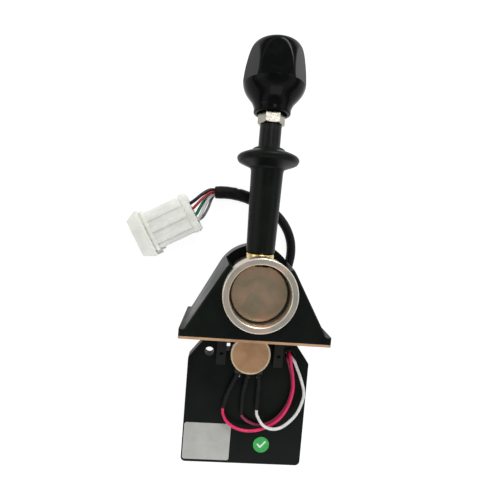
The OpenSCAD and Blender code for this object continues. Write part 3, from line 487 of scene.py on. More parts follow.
def makeWireTree():
    tree, source, result = startTree("sheathAlongPath", [
        ("Path", "NodeSocketGeometry"), ("Radius", "NodeSocketFloat"), ("Sides", "NodeSocketInt"),
        ("Sheath", "NodeSocketMaterial")])
    given = source.outputs
    curve = addNode(tree, "GeometryNodeMeshToCurve", Mesh=given["Path"])
    circle = addNode(tree, "GeometryNodeCurvePrimitiveCircle", Resolution=given["Sides"], Radius=given["Radius"])
    stored = []
    for label, shape, output in (("along", curve, "Length"), ("around", circle, "Factor")):
        parameter = addNode(tree, "GeometryNodeSplineParameter")
        store = addNode(tree, "GeometryNodeStoreNamedAttribute", {"data_type": "FLOAT", "domain": "POINT"},
                        Name=label, Geometry=shape.outputs["Curve"])
        feed(tree, store.inputs["Value"], parameter.outputs[output])
        stored.append(store.outputs["Geometry"])
    sweep = addNode(tree, "GeometryNodeCurveToMesh", Curve=stored[0], Profile_Curve=stored[1], Fill_Caps=True)
    return endTree(tree, sweep.outputs["Mesh"], given["Sheath"], result)


def makePlacesTree():
    tree, source, result = startTree("pieceAtPlaces", [
        ("Places", "NodeSocketGeometry"), ("Piece", "NodeSocketObject"), ("Turn", "NodeSocketVector"),
        ("Loose Turn", "NodeSocketFloat"), ("Seed", "NodeSocketInt"), ("Finish", "NodeSocketMaterial")])
    given = source.outputs
    info = addNode(tree, "GeometryNodeObjectInfo", Object=given["Piece"])
    loose = addNode(tree, "FunctionNodeRandomValue", {"data_type": "FLOAT"}, Seed=given["Seed"])
    spin = maths(tree, "MULTIPLY", next(s for s in loose.outputs if s.enabled), given["Loose Turn"])
    aboutZ = addNode(tree, "ShaderNodeCombineXYZ", Z=spin)
    turn = addNode(tree, "FunctionNodeRotateEuler", {"space": "LOCAL"}, Rotation=given["Turn"],
                   Rotate_By=aboutZ.outputs[0])
    placed = addNode(tree, "GeometryNodeInstanceOnPoints", Points=given["Places"],
                     Instance=info.outputs["Geometry"], Rotation=turn.outputs["Rotation"])
    return endTree(tree, placed.outputs["Instances"], given["Finish"], result)


wireTree = makeWireTree()
placesTree = makePlacesTree()


def grown(tree, mesh, **values):
    # Runs a tree on a mesh and gives back the plain mesh that it makes
    host = newObject("host", mesh)
    modifier = host.modifiers.new("grow", "NODES")
    modifier.node_group = tree
    named = {socket.name: socket.identifier for socket in tree.interface.items_tree if socket.in_out == "INPUT"}
    for key, value in values.items():
        modifier[named[key.replace("_", " ")]] = value
    result = bpy.data.meshes.new_from_object(host.evaluated_get(bpy.context.evaluated_depsgraph_get()))
    host.modifiers.clear()
    bpy.data.objects.remove(host)
    return result


def sweptWire(line, radius, material, sides=16):
    path = bpy.data.meshes.new("path")
    path.from_pydata([tuple(p) for p in line], [(i, i + 1) for i in range(len(line) - 1)], [])
    return faceOutwards(grown(wireTree, path, Radius=radius * mm, Sides=sides, Sheath=material))


def atPlaces(places, mesh, material, turn=(0, 0, 0), looseTurn=0.0, seed=1):
    master = newObject("master", mesh)
    points = bpy.data.meshes.new("places")
    points.from_pydata([tuple(p) for p in places], [], [])
    result = grown(placesTree, points, Piece=master, Turn=turn, Loose_Turn=looseTurn, Seed=seed, Finish=material)
    bpy.data.objects.remove(master)
    return result


# The cable's sleeve leaves the module, runs behind the tower and ends on the table under the lever.
cable = {
    "radius": 3.3, "wrap": 1.15, "wrapFrom": 0.127, "wrapStep": 0.004, "bore": 3.9, "boreDepth": 5.0,
    "colour": (0.0048, 0.0052, 0.0048), "nickAt": 0.144, "nickWidth": 0.0007, "nickDepth": 0.8, "nickSide": 2.0,
    "wave": 0.03, "wrapWave": 0.05, "waves": 900, "waveTwist": 300, "lip": 0.25, "lipLength": 0.0012,
    "route": [(16, -58.2, 6), (16, -50, 6), (16, -41, 6), (16, -34, 4.6), (16, -28, 3.4), (16.2, -20, 3.4),
              (17, -11, 3.4), (19, -3, 3.4), (22, 4, 3.4), (24.6, 10, 3.4), (26, 17, 3.4), (26.2, 23.5, 3.4),
              (25.2, 30, 3.4), (22.6, 36.6, 3.4), (18.4, 42.9, 3.4), (12.8, 48.4, 3.4), (6, 53, 3.95),
              (-1.8, 56.3, 4.5), (-9.2, 58.6, 4.5), (-16.8, 60.1, 4.5), (-24.2, 60.5, 4.5), (-31.5, 60, 4.5)],
}
cableFinish = softRubber("cableSleeve", cable["colour"], 0.36, 0.02, 900)


def cableRadius(length, angle, whole):
    # Wrapped thicker towards its mouth, with soft waves and one nick in the wrap's upper side
    wrapped = min(max((length - cable["wrapFrom"]) / cable["wrapStep"], 0.0), 1.0)
    wrapped = wrapped * wrapped * (3 - 2 * wrapped)
    r = cable["radius"] - 0.06 + cable["wrap"] * wrapped
    wave = math.sin(length * cable["waves"]) * math.cos(angle * 2 + length * cable["waveTwist"])
    r += (cable["wave"] + cable["wrapWave"] * wrapped) * wave
    r -= cable["lip"] * max(0.0, 1 - (whole - length) / cable["lipLength"])
    nick = math.exp(-((length - cable["nickAt"]) / cable["nickWidth"]) ** 2)
    return r - cable["nickDepth"] * nick * max(0.0, math.cos(angle - cable["nickSide"])) ** 2


cableLine = smoothLine([onTable(*p) for p in cable["route"]], 10)
mainCable = newPiece("mainCable", sleeveMesh(cableLine, cableRadius, 32, cable["bore"], cable["boreDepth"] * mm),
                     cableFinish, "base", ["main_cable"])

# Five wires go from the sleeve's mouth into the connector.
harness = {
    "radius": 0.95, "tuck": 3.6, "gather": 0.86, "tuckGather": 0.8, "stout": {"Black": 1.2, "Green": 1.1,
    "White": 1.1},
    "colours": {"Black": (0.006, 0.006, 0.007), "Red": (0.36, 0.008, 0.014), "Green": (0.0, 0.2, 0.095),
                "White": (0.6, 0.6, 0.58), "Grey": (0.17, 0.17, 0.165)},
    "routes": {
        "Black": [(-31.3, 62, 5.6), (-35.4, 61, 7.4), (-39.8, 57.8, 9.4), (-44, 53.6, 10.8), (-47.4, 50.7, 11),
                  (-51.2, 48.5, 11)],
        "Red": [(-31.3, 60.2, 6.6), (-35, 58.8, 9.6), (-39, 54.8, 13), (-42.6, 50.2, 14.8), (-45.3, 47, 15.2),
                (-49.1, 44.8, 15.2)],
        "Green": [(-31.3, 60.6, 3.4), (-35, 58.4, 4.4), (-38.6, 53.2, 7), (-41.2, 47.6, 9.8), (-43.2, 43.4, 11),
                  (-47, 41.2, 11)],
        "White": [(-31.3, 58.3, 5.7), (-34.4, 56.4, 8.2), (-37.2, 50.4, 12), (-39.4, 43.6, 14.8),
                  (-41.1, 39.7, 15.2), (-44.9, 37.5, 15.2)],
        "Grey": [(-31.3, 58.4, 3.3), (-33.6, 55.2, 4), (-35.4, 48.8, 7), (-38, 42.8, 10), (-41.1, 39.7, 11),
                 (-44.9, 37.5, 11)]},
}
cableEnd = Vector(cable["route"][-1])
for label, route in harness["routes"].items():
    start = cableEnd + (Vector(route[0]) - cableEnd) * harness["gather"]
    tucked = cableEnd + Vector((harness["tuck"], 0.5, 0)) + (start - cableEnd) * harness["tuckGather"]
    line = smoothLine([onTable(*tucked), onTable(*start)] + [onTable(*p) for p in route[1:]], 8)
    finish = wireSheath("wire" + label, harness["colours"][label])
    radius = harness["stout"].get(label, harness["radius"])
    newPiece("harness" + label, sweptWire(line, radius, finish), finish, "base",
                                 ["harness_wires"])

# The connector and its pins lie at the cable's end.
connector = {
    "colour": (0.84, 0.845, 0.785), "edge": 0.5, "pinColour": (0.62, 0.44, 0.17), "columns": 4, "rows": 3,
    "pitch": 4.2, "pinRadius": 1.05, "pinFrom": 6, "pinLength": 21, "place": (-44.6, 45), "turn": 210,
}


def clearNylon(name, colour):
    material, tree, shader = newMaterial(name)
    place = objectPlace(tree)
    cloud = noise(tree, place, 85, 4, 0.6, 0.3)
    fine = noise(tree, place, 1300, 2)
    tone = mottled(tree, cloud, colour, 0.9, 1.08, 0.35, 0.68)
    rough = between(tree, fine, 0.3, 0.44, 0.3, 0.7)
    height = maths(tree, "ADD", cloud, maths(tree, "MULTIPLY", fine, 0.15))
    setShader(tree, shader, Base_Color=tone, Roughness=rough, Normal=bump(tree, height, 0.06, 0.5))
    setShader(tree, shader, Subsurface_Weight=0.7, Subsurface_Radius=(1.0, 1.0, 0.85), Subsurface_Scale=0.006,
              Transmission_Weight=0.06, IOR=1.53, Specular_IOR_Level=0.45)
    return material


nylon = clearNylon("clearNylon", connector["colour"])
connectorShell = newPiece("connectorShell", nodeCopy("connector_housing", connector["edge"], 1.2), nylon, "base",
                          ["connector_housing"])


def connectorPins(setup):
    low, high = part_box("connector_pins")
    turn = math.radians(setup["turn"])
    forward, across = Vector((math.cos(turn), math.sin(turn), 0)), Vector((-math.sin(turn), math.cos(turn), 0))
    foot = at(*setup["place"], 0)
    foot.z = (low.z + high.z) / 2
    radius, length = setup["pinRadius"], setup["pinLength"]
    outline = rounded([(0, 0, 0), (radius, 0, 0.3), (radius, length, 0.8), (0, length, 0)])
    pin = turnedMesh([(r, h) for r, h in outline], "z", Vector((0, 0, 0)), 20)
    places = []
    for i in range(setup["columns"]):
        for j in range(setup["rows"]):
            side = (i - (setup["columns"] - 1) / 2) * setup["pitch"] * mm
            rise = (j - (setup["rows"] - 1) / 2) * setup["pitch"] * mm
            places.append(foot + forward * setup["pinFrom"] * mm + across * side + Vector((0, 0, rise)))
    finish = platedMetal("pinBrass", setup["pinColour"], 0.3)
    mesh = atPlaces(places, pin, finish, (0, math.pi / 2, turn), math.pi, 3)
    return newPiece("connectorPins", mesh, finish, "base", ["connector_pins"])


pins = connectorPins(connector)

# The potentiometer's three wires loop down and go back up into the hole in the panel.
potWiring = {
    "radius": 0.95, "sleeveRadius": 1.5,
    "colours": {"Pink": (0.72, 0.012, 0.105), "Red": (0.2, 0.012, 0.045), "White": (0.72, 0.72, 0.71)},
    "sleeveColour": (0.0075, 0.0075, 0.0072),
    "routes": {
        "Pink": [(-14.9, -38.5, 2.4), (-14.4, -42.9, 2.4), (-11.4, -47.9, 2.6), (-5.4, -51.7, 2.8), (2.8, -53.1, 3),
                 (12.4, -51.1, 3.1), (22, -44.9, 3.1), (27.8, -35.9, 3.1), (30.4, -24.9, 3.1), (29.8, -15.5, 3.2),
                 (28.1, -8.1, 3.4), (27, -2.9, 3.6), (26.5, -0.5, 1.4), (26.4, -0.3, -3), (26.4, -0.5, -7.6),
                 (27, -5.5, -12.6), (27, -15.1, -13)],
        "Red": [(-2.4, -42.3, 2.4), (-1.2, -44.7, 1.8), (2.8, -47.9, 1.1), (9, -49.9, 1), (15.6, -48.7, 1),
                (22, -44.1, 1), (27.6, -35.5, 1), (30.1, -24.9, 1), (29.2, -15.5, 1), (27.1, -8.5, 1.3),
                (25.5, -4.3, 2.8), (25.1, -2.5, 1), (25.1, -2.4, -3), (25.1, -2.8, -7.6), (25.2, -6.5, -10.6),
                (25.2, -15.1, -10.8)],
        "White": [(7.4, -38.5, 2.6), (8.2, -42.5, 3.4), (12.6, -47.9, 4.8), (19, -49.7, 5.2), (25.8, -47.3, 5.2),
                  (33.4, -39.9, 4.4), (37.2, -30.9, 3.6), (37.6, -24.1, 3.4), (34.4, -14.5, 3.6), (31.3, -7.9, 3.8),
                  (29.5, -4.1, 4), (27.9, -2.6, 1.4), (27.7, -2.4, -2), (27.7, -2.4, -7), (28.8, -6.1, -12),
                  (29, -15.1, -13.2)]},
    "sleeveRoutes": [[(-6.4, -14.3, 2.2), (-9.4, -21.1, 2.2), (-12.6, -29.1, 2.2), (-14.9, -38.5, 2.4)],
                     [(0, -14.3, 2.2), (-1.2, -21.5, 2.2), (-2.4, -28.9, 2.2), (-2.4, -42.3, 2.4)],
                     [(6.6, -14.3, 2.2), (7.6, -21.1, 2.2), (7.4, -28.5, 2.2), (7.4, -38.5, 2.6)]],
}
for label, route in potWiring["routes"].items():
    finish = wireSheath("potWire" + label, potWiring["colours"][label], 0.38)
    line = smoothLine([fromPot(*p) for p in route], 8)
    newPiece("potWire" + label, sweptWire(line, potWiring["radius"], finish, 20), finish, "base",
             ["pot_wire_" + label.lower()])


def shrunkRadius(length, angle, whole):
    # Heat-shrink: wide over the terminal, snug on the wire, its ends drawn in
    r = potWiring["sleeveRadius"] - 0.12 * (length / whole)
    r += 0.05 * math.sin(length * 1900 + math.sin(angle))
    end = min(length, whole - length)
    return r - 0.3 * max(0.0, 1 - end / 0.0011) ** 2


shrink = softRubber("shrinkSleeve", potWiring["sleeveColour"], 0.5, 0.02, 1200)
for i, route in enumerate(potWiring["sleeveRoutes"]):
    line = smoothLine([fromPot(*p) for p in route], 14)
    newPiece(f"shrinkSleeve{i + 1}", sleeveMesh(line, shrunkRadius, 24), shrink, "base", ["wire_sleeves"])
print("wires and sleeves done")

# The moulded body: tower, mounting panel and the module's case behind it.
moulded = {
    "colour": (0.0036, 0.0056, 0.0042), "panelColour": (0.0038, 0.0058, 0.0044), "towerEdge": 0.3,
    # The legs' colour is painted light, paler than the tower's black
    "panelEdge": 0.45, "caseEdge": 0.5, "coverEdge": 0.2, "legPaintedLight": (0.017, 0.019, 0.018), "flangeFoot": -27.5,
}
towerFinish = mouldedPlastic("towerBlack", moulded["colour"], 0.36, 0.02, 0.12)


def paintedLightLegs(material, setup):
    # The legs under the flange are painted paler than the rest of the tower: painted light standing in for the light
    # they catch
    tree = material.node_tree
    shader = tree.nodes["Principled BSDF"]
    skin = shader.inputs["Base Color"].links[0].from_socket
    parts = addNode(tree, "ShaderNodeSeparateXYZ", Vector=objectPlace(tree))
    foot = at(0, setup["flangeFoot"], 0).y
    share = between(tree, parts.outputs["Y"], 1, 0, foot - 0.0005, foot + 0.0005)
    setShader(tree, shader, Base_Color=colourMix(tree, share, skin, setup["legPaintedLight"]))


paintedLightLegs(towerFinish, moulded)
panelFinish = mouldedPlastic("panelBlack", moulded["panelColour"], 0.42, 0.02, 0.1)
for name, node, edge, shortest, sharp, finish, slot in (
        ("tower", "tower_housing", moulded["towerEdge"], 2.5, 40, towerFinish, "tower_black"),
        ("panel", "mounting_panel", moulded["panelEdge"], 1.8, 40, panelFinish, "panel_black"),
        ("case", "electronics_case", moulded["caseEdge"], 3.0, 50, panelFinish, "case_black"),
        ("rearCover", "rear_cover", moulded["coverEdge"], 0.9, 50, towerFinish, "tower_black")):
    newPiece(name, nodeCopy(node, edge, shortest, sharp), finish, "base", [node])
print("moulded body done")

# The ring round the hub, the bush in it and the hub's face.
hub = {
    "ring": [(17.6, 8.9, 0.1), (21.5, 8.9, 0.1), (21.5, 19.9, 0.25), (21.0, 20.4, 0.25), (18.1, 20.4, 0.25),
             (17.6, 19.9, 0.25)],
    "ringColour": (0.74, 0.72, 0.62), "ringTint": (0.84, 0.62, 0.49), "ringRoughness": 0.36,
    "faceColour": (0.42, 0.34, 0.23), "faceTint": (0.5, 0.32, 0.22), "faceRoughness": 0.42, "faceEdge": 0.15,
}
ringFinish = turnedMetal("ringAluminium", hub["ringColour"], hub["ringTint"], hub["ringRoughness"], pivot,
                         pitch=0.3, depth=0.004, patches=0.75)
newPiece("bearingRing", turnedMesh(rounded(hub["ring"]), "z", pivot, 192), ringFinish, "base", ["bearing_ring"])
faceFinish = turnedMetal("hubNickel", hub["faceColour"], hub["faceTint"], hub["faceRoughness"], pivot, pitch=0.5,
                         depth=0.003, patches=0.9)
newPiece("hubFace", nodeCopy("hub_cap", hub["faceEdge"], 0.6, 40), faceFinish, "lever", ["hub_cap"])

# The lever: brass collar, tube, lock sleeve with its finger flange, and nut.
lever = {
    "collar": [(4.76, 12.4, 0), (8.5, 12.4, 0.1), (8.5, 21.8, 0.2), (8.0, 22.3, 0.2), (4.76, 22.3, 0)],
    # The brass's dark and light colours are the painted shade and painted highlight of the collar's bands
    "brass": (0.84, 0.63, 0.25), "brassPaintedShade": (0.62, 0.43, 0.15), "brassPaintedHighlight": (0.9, 0.75, 0.38),
    "tube": [(4.76, 22.3, 0), (5.3, 22.3, 0), (5.3, 62.4, 0), (6.6, 62.4, 0.1), (6.6, 99.3, 0.3), (6.1, 99.8, 0.3),
             (4.76, 99.8, 0)],
    "tubeColour": (0.008, 0.0086, 0.0082),
    "sleeveFoot": [(5.35, 22.6, 0), (8.25, 22.6, 0.3), (8.75, 23.1, 0.3)],
    "sleeveNeck": [(9.85, 71.4), (10.05, 72.6)],
    "flangeMiddle": 79.2, "flangeWall": 10.05, "flangeRadius": 18.8,
    "flange": [(0.0, -6.4), (0.08, -5.4), (0.26, -4.6), (0.59, -3.4), (0.87, -2.3), (0.96, -1.2), (1, 0), (0.95, 1.1),
               (0.8, 2.2), (0.48, 3.4), (0.2, 4.4), (0.05, 4.9), (0.0, 5.3)],
    "sleeveTop": [(10.05, 84.8, 0.5), (9.25, 85.6, 0.5), (6.65, 85.6, 0.3), (6.65, 31.0, 0), (5.35, 31.0, 0)],
    "sleeveColour": (0.0042, 0.0058, 0.0046),
}
brassFinish = paintedHighlightBands("collarBrass", lever["brass"], lever["brassPaintedShade"], lever["brassPaintedHighlight"], pivot)
newPiece("brassCollar", turnedMesh(rounded(lever["collar"]), "y", pivot, 128), brassFinish, "lever",
         ["brass_collar"])
tubeFinish = mouldedPlastic("tubeBlack", lever["tubeColour"], 0.32, 0.008, 0.16, 0.35)
newPiece("leverTube", turnedMesh(rounded(lever["tube"]), "y", pivot, 96), tubeFinish, "lever", ["lever_tube"])


def lockSleeveMesh(setup):
    wall, reach, middle = setup["flangeWall"], setup["flangeRadius"], setup["flangeMiddle"]
    lens = [(wall + share * (reach - wall), middle + rise) for share, rise in setup["flange"]]
    outline = rounded(setup["sleeveFoot"] + [(*point, 0) for point in setup["sleeveNeck"]]
                      + [(*point, 0) for point in lens] + setup["sleeveTop"])
    first = outline.index(lens[0])
    smoothed = [tuple(p) for p in smoothLine([setup["sleeveNeck"][1]] + lens, 4)]
    outline[first:first + len(lens)] = smoothed[1:]
    return turnedMesh(outline, "y", pivot, 192)


sleeveFinish = mouldedPlastic("sleeveBlack", lever["sleeveColour"], 0.34, 0.012, 0.11)
newPiece("lockSleeve", lockSleeveMesh(lever), sleeveFinish, "collar", ["lock_sleeve"])

nut = {"foot": 99.8, "height": 8.1, "flats": 14.3, "bore": 4.76, "chamfer": 0.62, "soft": 0.22,
       "colour": (0.32, 0.3, 0.26)}


def softMin(a, b, k):
    h = max(k - abs(a - b), 0.0) / k
    return min(a, b) - h * h * k / 4


def hexagon(turn, flats):
    sector = math.pi / 3
    return flats / 2 / math.cos((turn + sector / 2) % sector - sector / 2)


def nutMesh(setup):
    # A hexagon whose corners run into turned chamfers at both ends
    foot, top, across = setup["foot"], setup["foot"] + setup["height"], setup["flats"]
    corner = across / math.sqrt(3)

    def side(h):
        fromEnd = min(h - foot, top - h)
        turned = across / 2 + 0.1 + fromEnd / setup["chamfer"] * (corner - across / 2)
        return lambda turn: softMin(hexagon(turn, across), turned, setup["soft"])

    lifts = [0, 0.08, 0.18, 0.3, 0.42, 0.54, 0.66, 0.8, 1.2, 2.4]
    heights = [foot + lift for lift in lifts] + [top - lift for lift in reversed(lifts)]
    outline = [(setup["bore"] + 0.35, foot)] + [(side(h), h) for h in heights] + [
        (setup["bore"] + 0.35, top), (setup["bore"], top - 0.35), (setup["bore"], foot + 0.35)]
    return turnedMesh(outline, "y", pivot, 240)


nutFinish = platedMetal("nutNickel", nut["colour"], 0.22, 0.35, 1100)
newPiece("jamNut", nutMesh(nut), nutFinish, "lever", ["jam_nut"], 40)

# The knob is a bulb with six flats round its upper part, each with a small ledge at its foot.
knob = {
    "skirt": 106.2, "length": 42.3, "radius": 18.6, "crown": 0.972, "recess": 9.1, "recessTop": 107.9,
    "ledge": 122.4, "flatAt": 16.9, "lean": 4.0, "turned": -4.0, "soft": 0.3, "ledgeSoft": 0.3, "segments": 288,
    "outline": [(0.57, 0.0), (0.6, 0.012), (0.602, 0.047), (0.608, 0.07), (0.621, 0.092), (0.649, 0.122),
                (0.687, 0.153), (0.75, 0.189), (0.865, 0.249), (0.942, 0.301), (0.99, 0.353), (1.012, 0.396),
                (1.017, 0.456), (1.0, 0.545), (0.977, 0.62), (0.948, 0.682), (0.91, 0.758), (0.878, 0.811),
                (0.838, 0.862), (0.79, 0.9), (0.742, 0.922), (0.667, 0.94), (0.557, 0.954)],
    "colour": (0.0028, 0.0034, 0.003),
}


def knobMesh(setup):
    foot, length, radius = setup["skirt"], setup["length"], setup["radius"]
    bulb = smoothLine([(r * radius, foot + h * length) for r, h in setup["outline"]], 5)
    lean = math.tan(math.radians(setup["lean"]))
    sector = math.pi / 3

    def surface(r, h):
        def radiusAt(turn):
            apart = (turn - math.radians(setup["turned"]) + sector / 2) % sector - sector / 2
            rise = h - setup["ledge"] - max(r * math.cos(apart) - setup["flatAt"], 0) * lean
            share = min(max(rise / setup["ledgeSoft"] + 0.5, 0.0), 1.0)
            share = share * share * (3 - 2 * share)
            flat = (setup["flatAt"] - (h - setup["ledge"]) * lean) / math.cos(apart)
            return r + (softMin(r, flat, setup["soft"]) - r) * share
        return radiusAt

    ledge = setup["ledge"]
    heights = sorted(set([round(p[1], 3) for p in bulb]
                         + [round(ledge - 0.3 + 0.06 * i, 3) for i in range(13)]))
    rows = [(float(np.interp(h, [p[1] for p in bulb], [p[0] for p in bulb])), h) for h in heights]
    inside = [(0.0, setup["recessTop"]), (setup["recess"], setup["recessTop"]), (setup["recess"], foot + 0.25),
              (setup["recess"] + 0.2, foot)]
    last = rows[-1]
    top = foot + length * setup["crown"]
    drop = top - last[1]
    crown = [(last[0] * share, top - drop * share ** 2) for share in (0.8, 0.55, 0.3, 0.12)]
    outline = inside + [(surface(r, h), h) for r, h in rows] + crown + [(0.0, top)]
    return turnedMesh(outline, "y", pivot, setup["segments"])


knobFinish = glossPlastic("knobBlack", knob["colour"], 0.1)
newPiece("leverKnob", knobMesh(knob), knobFinish, "lever", ["knob"], 42)
print("lever done")

# The potentiometer's cover, with a low rim round its face.
pot = {
    "cover": [(0, 7.4, 0), (12.3, 7.4, 0), (12.3, 4.1, 0), (12.8, 4.1, 0.05), (12.8, 7.7, 0.2), (12.5, 8.0, 0.15),
              (11.95, 8.0, 0.1), (11.7, 7.8, 0.1), (0, 7.8, 0)],
    "copper": (0.58, 0.335, 0.185), "copperTint": (0.64, 0.4, 0.23), "rimColour": (0.72, 0.63, 0.45),
    "rimFrom": 11.75, "phenolic": (0.03, 0.022, 0.014),
}


def copperFinish(setup):
    material = turnedMetal("coverCopper", setup["copper"], setup["copperTint"], 0.42, potAxis, pitch=0.4,
                           depth=0.002, patches=0.8)
    tree = material.node_tree
    shader = tree.nodes["Principled BSDF"]
    face = shader.inputs["Base Color"].links[0].from_socket
    radius = fromAxis(tree, objectPlace(tree, tuple(potAxis)))
    rim = between(tree, radius, 0, 1, setup["rimFrom"] * mm, (setup["rimFrom"] + 0.15) * mm)
    setShader(tree, shader, Base_Color=colourMix(tree, rim, face, setup["rimColour"]))
    return material


potFront = Vector((potAxis.x, potAxis.y, panelFront))
newPiece("potCover", turnedMesh(rounded(pot["cover"]), "z", potFront, 160), copperFinish(pot), "base",
         ["pot_cover"])

# Rubber round the wires' hole, and the tapered relief where the cable leaves the module.
rubber = {
    "grommetAt": (26.4, -45.1), "grommet": [(2.6, -8, 0), (4, -8, 0), (4, 0, 0), (4.5, 0, 0.1), (4.2, 0.6, 0.25),
                                            (2.9, 0.6, 0.25), (2.6, 0.3, 0.1)],
    "reliefAt": (16, -58, 6), "reliefBore": 3.35, "reliefCollar": 5.4, "reliefRoot": 4.9, "reliefTip": 3.9,
    "reliefLength": 17.2, "ribs": 6, "ribDepth": 0.32, "colour": (0.0075, 0.0078, 0.0078),
}
rubberFinish = softRubber("blackRubber", rubber["colour"], 0.5, 0.02, 1400)
grommetFoot = Vector((pivot.x + rubber["grommetAt"][0] * mm, pivot.y + rubber["grommetAt"][1] * mm, panelFront))
newPiece("wireGrommet", turnedMesh(rounded(rubber["grommet"], 3), "z", grommetFoot, 48), rubberFinish, "base",
         ["wire_grommet"])


def reliefMesh(setup):
    # Ribs that grow shallower as the relief thins towards its tip
    outline = rounded([(setup["reliefBore"], 0, 0), (setup["reliefCollar"], 0, 0.2),
                       (setup["reliefCollar"], 1.6, 0.3),
                       (setup["reliefRoot"], 2.2, 0.2), (setup["reliefRoot"], 3.4, 0)])
    steps = setup["ribs"] * 8
    for i in range(1, steps + 1):
        share = i / steps
        wave = setup["ribDepth"] * (1 - 0.5 * share) * (0.5 - 0.5 * math.cos(2 * math.pi * i / 8)) ** 0.6
        radius = setup["reliefRoot"] + (setup["reliefTip"] - setup["reliefRoot"]) * share - wave
        outline.append((max(radius, setup["reliefBore"] + 0.12), 3.4 + (setup["reliefLength"] - 3.4) * share))
    outline.append((setup["reliefBore"], setup["reliefLength"]))
    return turnedMesh(outline, "y", onTable(*setup["reliefAt"]), 64)


newPiece("strainRelief", reliefMesh(rubber), rubberFinish, "base", ["strain_relief"])

# Screws and inserts are each one mesh, set at its places.
fasteners = {
    "steel": (0.5, 0.5, 0.5), "blacked": (0.05, 0.05, 0.05), "brass": (0.68, 0.49, 0.19), "recess": 0.62,
    "recessWidth": 0.5, "thread": 0.09, "pitch": 0.8,
    "cover": {"head": 1.9, "height": 1.4, "shank": 1.1, "length": 8.6, "z": -36.6,
              "places": [(8.7 * math.cos(math.radians(a)), 8.7 * math.sin(math.radians(a))) for a in (30, 150, 270)]},
    "case": {"head": 2.4, "height": 1.7, "shank": 1.2, "length": 20.6, "z": -36.1,
             "places": [(x, y) for x in (-31.4, 31.4) for y in (-62.6, -113.4)]},
    "leg": {"head": 2.4, "height": 1.7, "shank": 1.25, "length": 9.6, "z": -19.1,
            "places": [(x, -45) for x in (-18.7, 18.7)]},
}


def screwMesh(setup, head, height, shank, length):
    # The head's face is at height 0 and looks down; its recess is a cross
    outline = [(0, 0), (head * 0.62, 0), (head * 0.84, height * 0.12), (head * 0.97, height * 0.36),
               (head, height * 0.62), (head, height), (shank, height)]
    turns = int((length - height - 0.6) / setup["pitch"])
    for i in range(turns):
        h = height + 0.3 + i * setup["pitch"]
        outline += [(shank - setup["thread"], h + 0.1), (shank, h + setup["pitch"] / 2)]
    outline += [(shank * 0.75, length), (0, length)]
    mesh = turnedMesh(outline, "z", Vector((0, 0, 0)), 32)
    body = newObject("screw", mesh)
    work = bmesh.new()
    for quarter in (0, math.pi / 2):
        made = bmesh.ops.create_cube(work, size=1.0)["verts"]
        size = (head * setup["recess"] * 2 * mm, setup["recessWidth"] * mm, height * 1.2 * mm)
        bmesh.ops.scale(work, vec=size, verts=made)
        bmesh.ops.rotate(work, matrix=Matrix.Rotation(quarter, 3, "Z"), verts=made)
    cutter = newObject("recess", meshFrom(work, "recess"))
    cut = body.modifiers.new("recess", "BOOLEAN")
    cut.object, cut.operation, cut.solver, cut.use_self = cutter, "DIFFERENCE", "EXACT", True
    result = bpy.data.meshes.new_from_object(body.evaluated_get(bpy.context.evaluated_depsgraph_get()))
    bpy.data.objects.remove(body)
    bpy.data.objects.remove(cutter)
    return result


steelFinish = platedMetal("screwSteel", fasteners["steel"], 0.32, 0.4)
blackedFinish = platedMetal("screwBlacked", fasteners["blacked"], 0.4, 0.4)
for seed, label in enumerate(("cover", "case", "leg")):
    kind = fasteners[label]
    screw = screwMesh(fasteners, kind["head"], kind["height"], kind["shank"], kind["length"])
    finish = blackedFinish if label == "leg" else steelFinish
    mesh = atPlaces([at(x, y, kind["z"]) for x, y in kind["places"]], screw, finish, (0, 0, 0), math.pi, seed)
    newPiece(label + "Screws", mesh, finish, "base", [label + "_screws"])


def insertMesh(radius, hole, length, knurls=26, depth=0.14):
    def knurled(turn):
        return radius - depth + depth * abs(math.cos(knurls * turn / 2))
    outline = [(hole + 0.3, 0), (radius - 0.2, 0), (radius - 0.05, 0.3), (radius - 0.05, 0.9), (knurled, 1.1),
               (knurled, length / 2 - 0.4), (radius - 0.35, length / 2 - 0.2), (radius - 0.35, length / 2 + 0.2),
               (knurled, length / 2 + 0.4), (knurled, length - 0.9), (radius - 0.1, length - 0.7),
               (radius - 0.3, length), (0, length), (0, length - 0.8), (hole, length - 0.8)]
    threads = int((length - 1.6) / 0.8)
    for i in range(threads):
        h = length - 1.0 - i * 0.8
        outline += [(hole, h), (hole + 0.14, h - 0.4)]
    return turnedMesh(outline + [(hole, 0.3)], "z", Vector((0, 0, 0)), 104)


insertPlaces = [at(x, -27.6, z) for x in (-36, 36) for z in (-27, 9)]
insertBrass = platedMetal("insertBrass", fasteners["brass"], 0.34, 0.4)
newPiece("mountingInserts", atPlaces(insertPlaces, insertMesh(3.1, 2.1, 7.6), insertBrass, (-math.pi / 2, 0, 0)),
         insertBrass, "base", ["mounting_inserts"])
print("fasteners done")

# The bare label, and a round sticker with a plain tick.
flatPieces = {
    "label": (0.42, 0.425, 0.405), "green": (0.018, 0.36, 0.06), "white": (0.75, 0.78, 0.74),
    "sticker": (12.9, -107.7), "tick": [((-2.4, 0.2), (-0.7, -1.7)), ((-0.7, -1.7), (2.6, 2.1))], "tickWidth": 0.55,
}


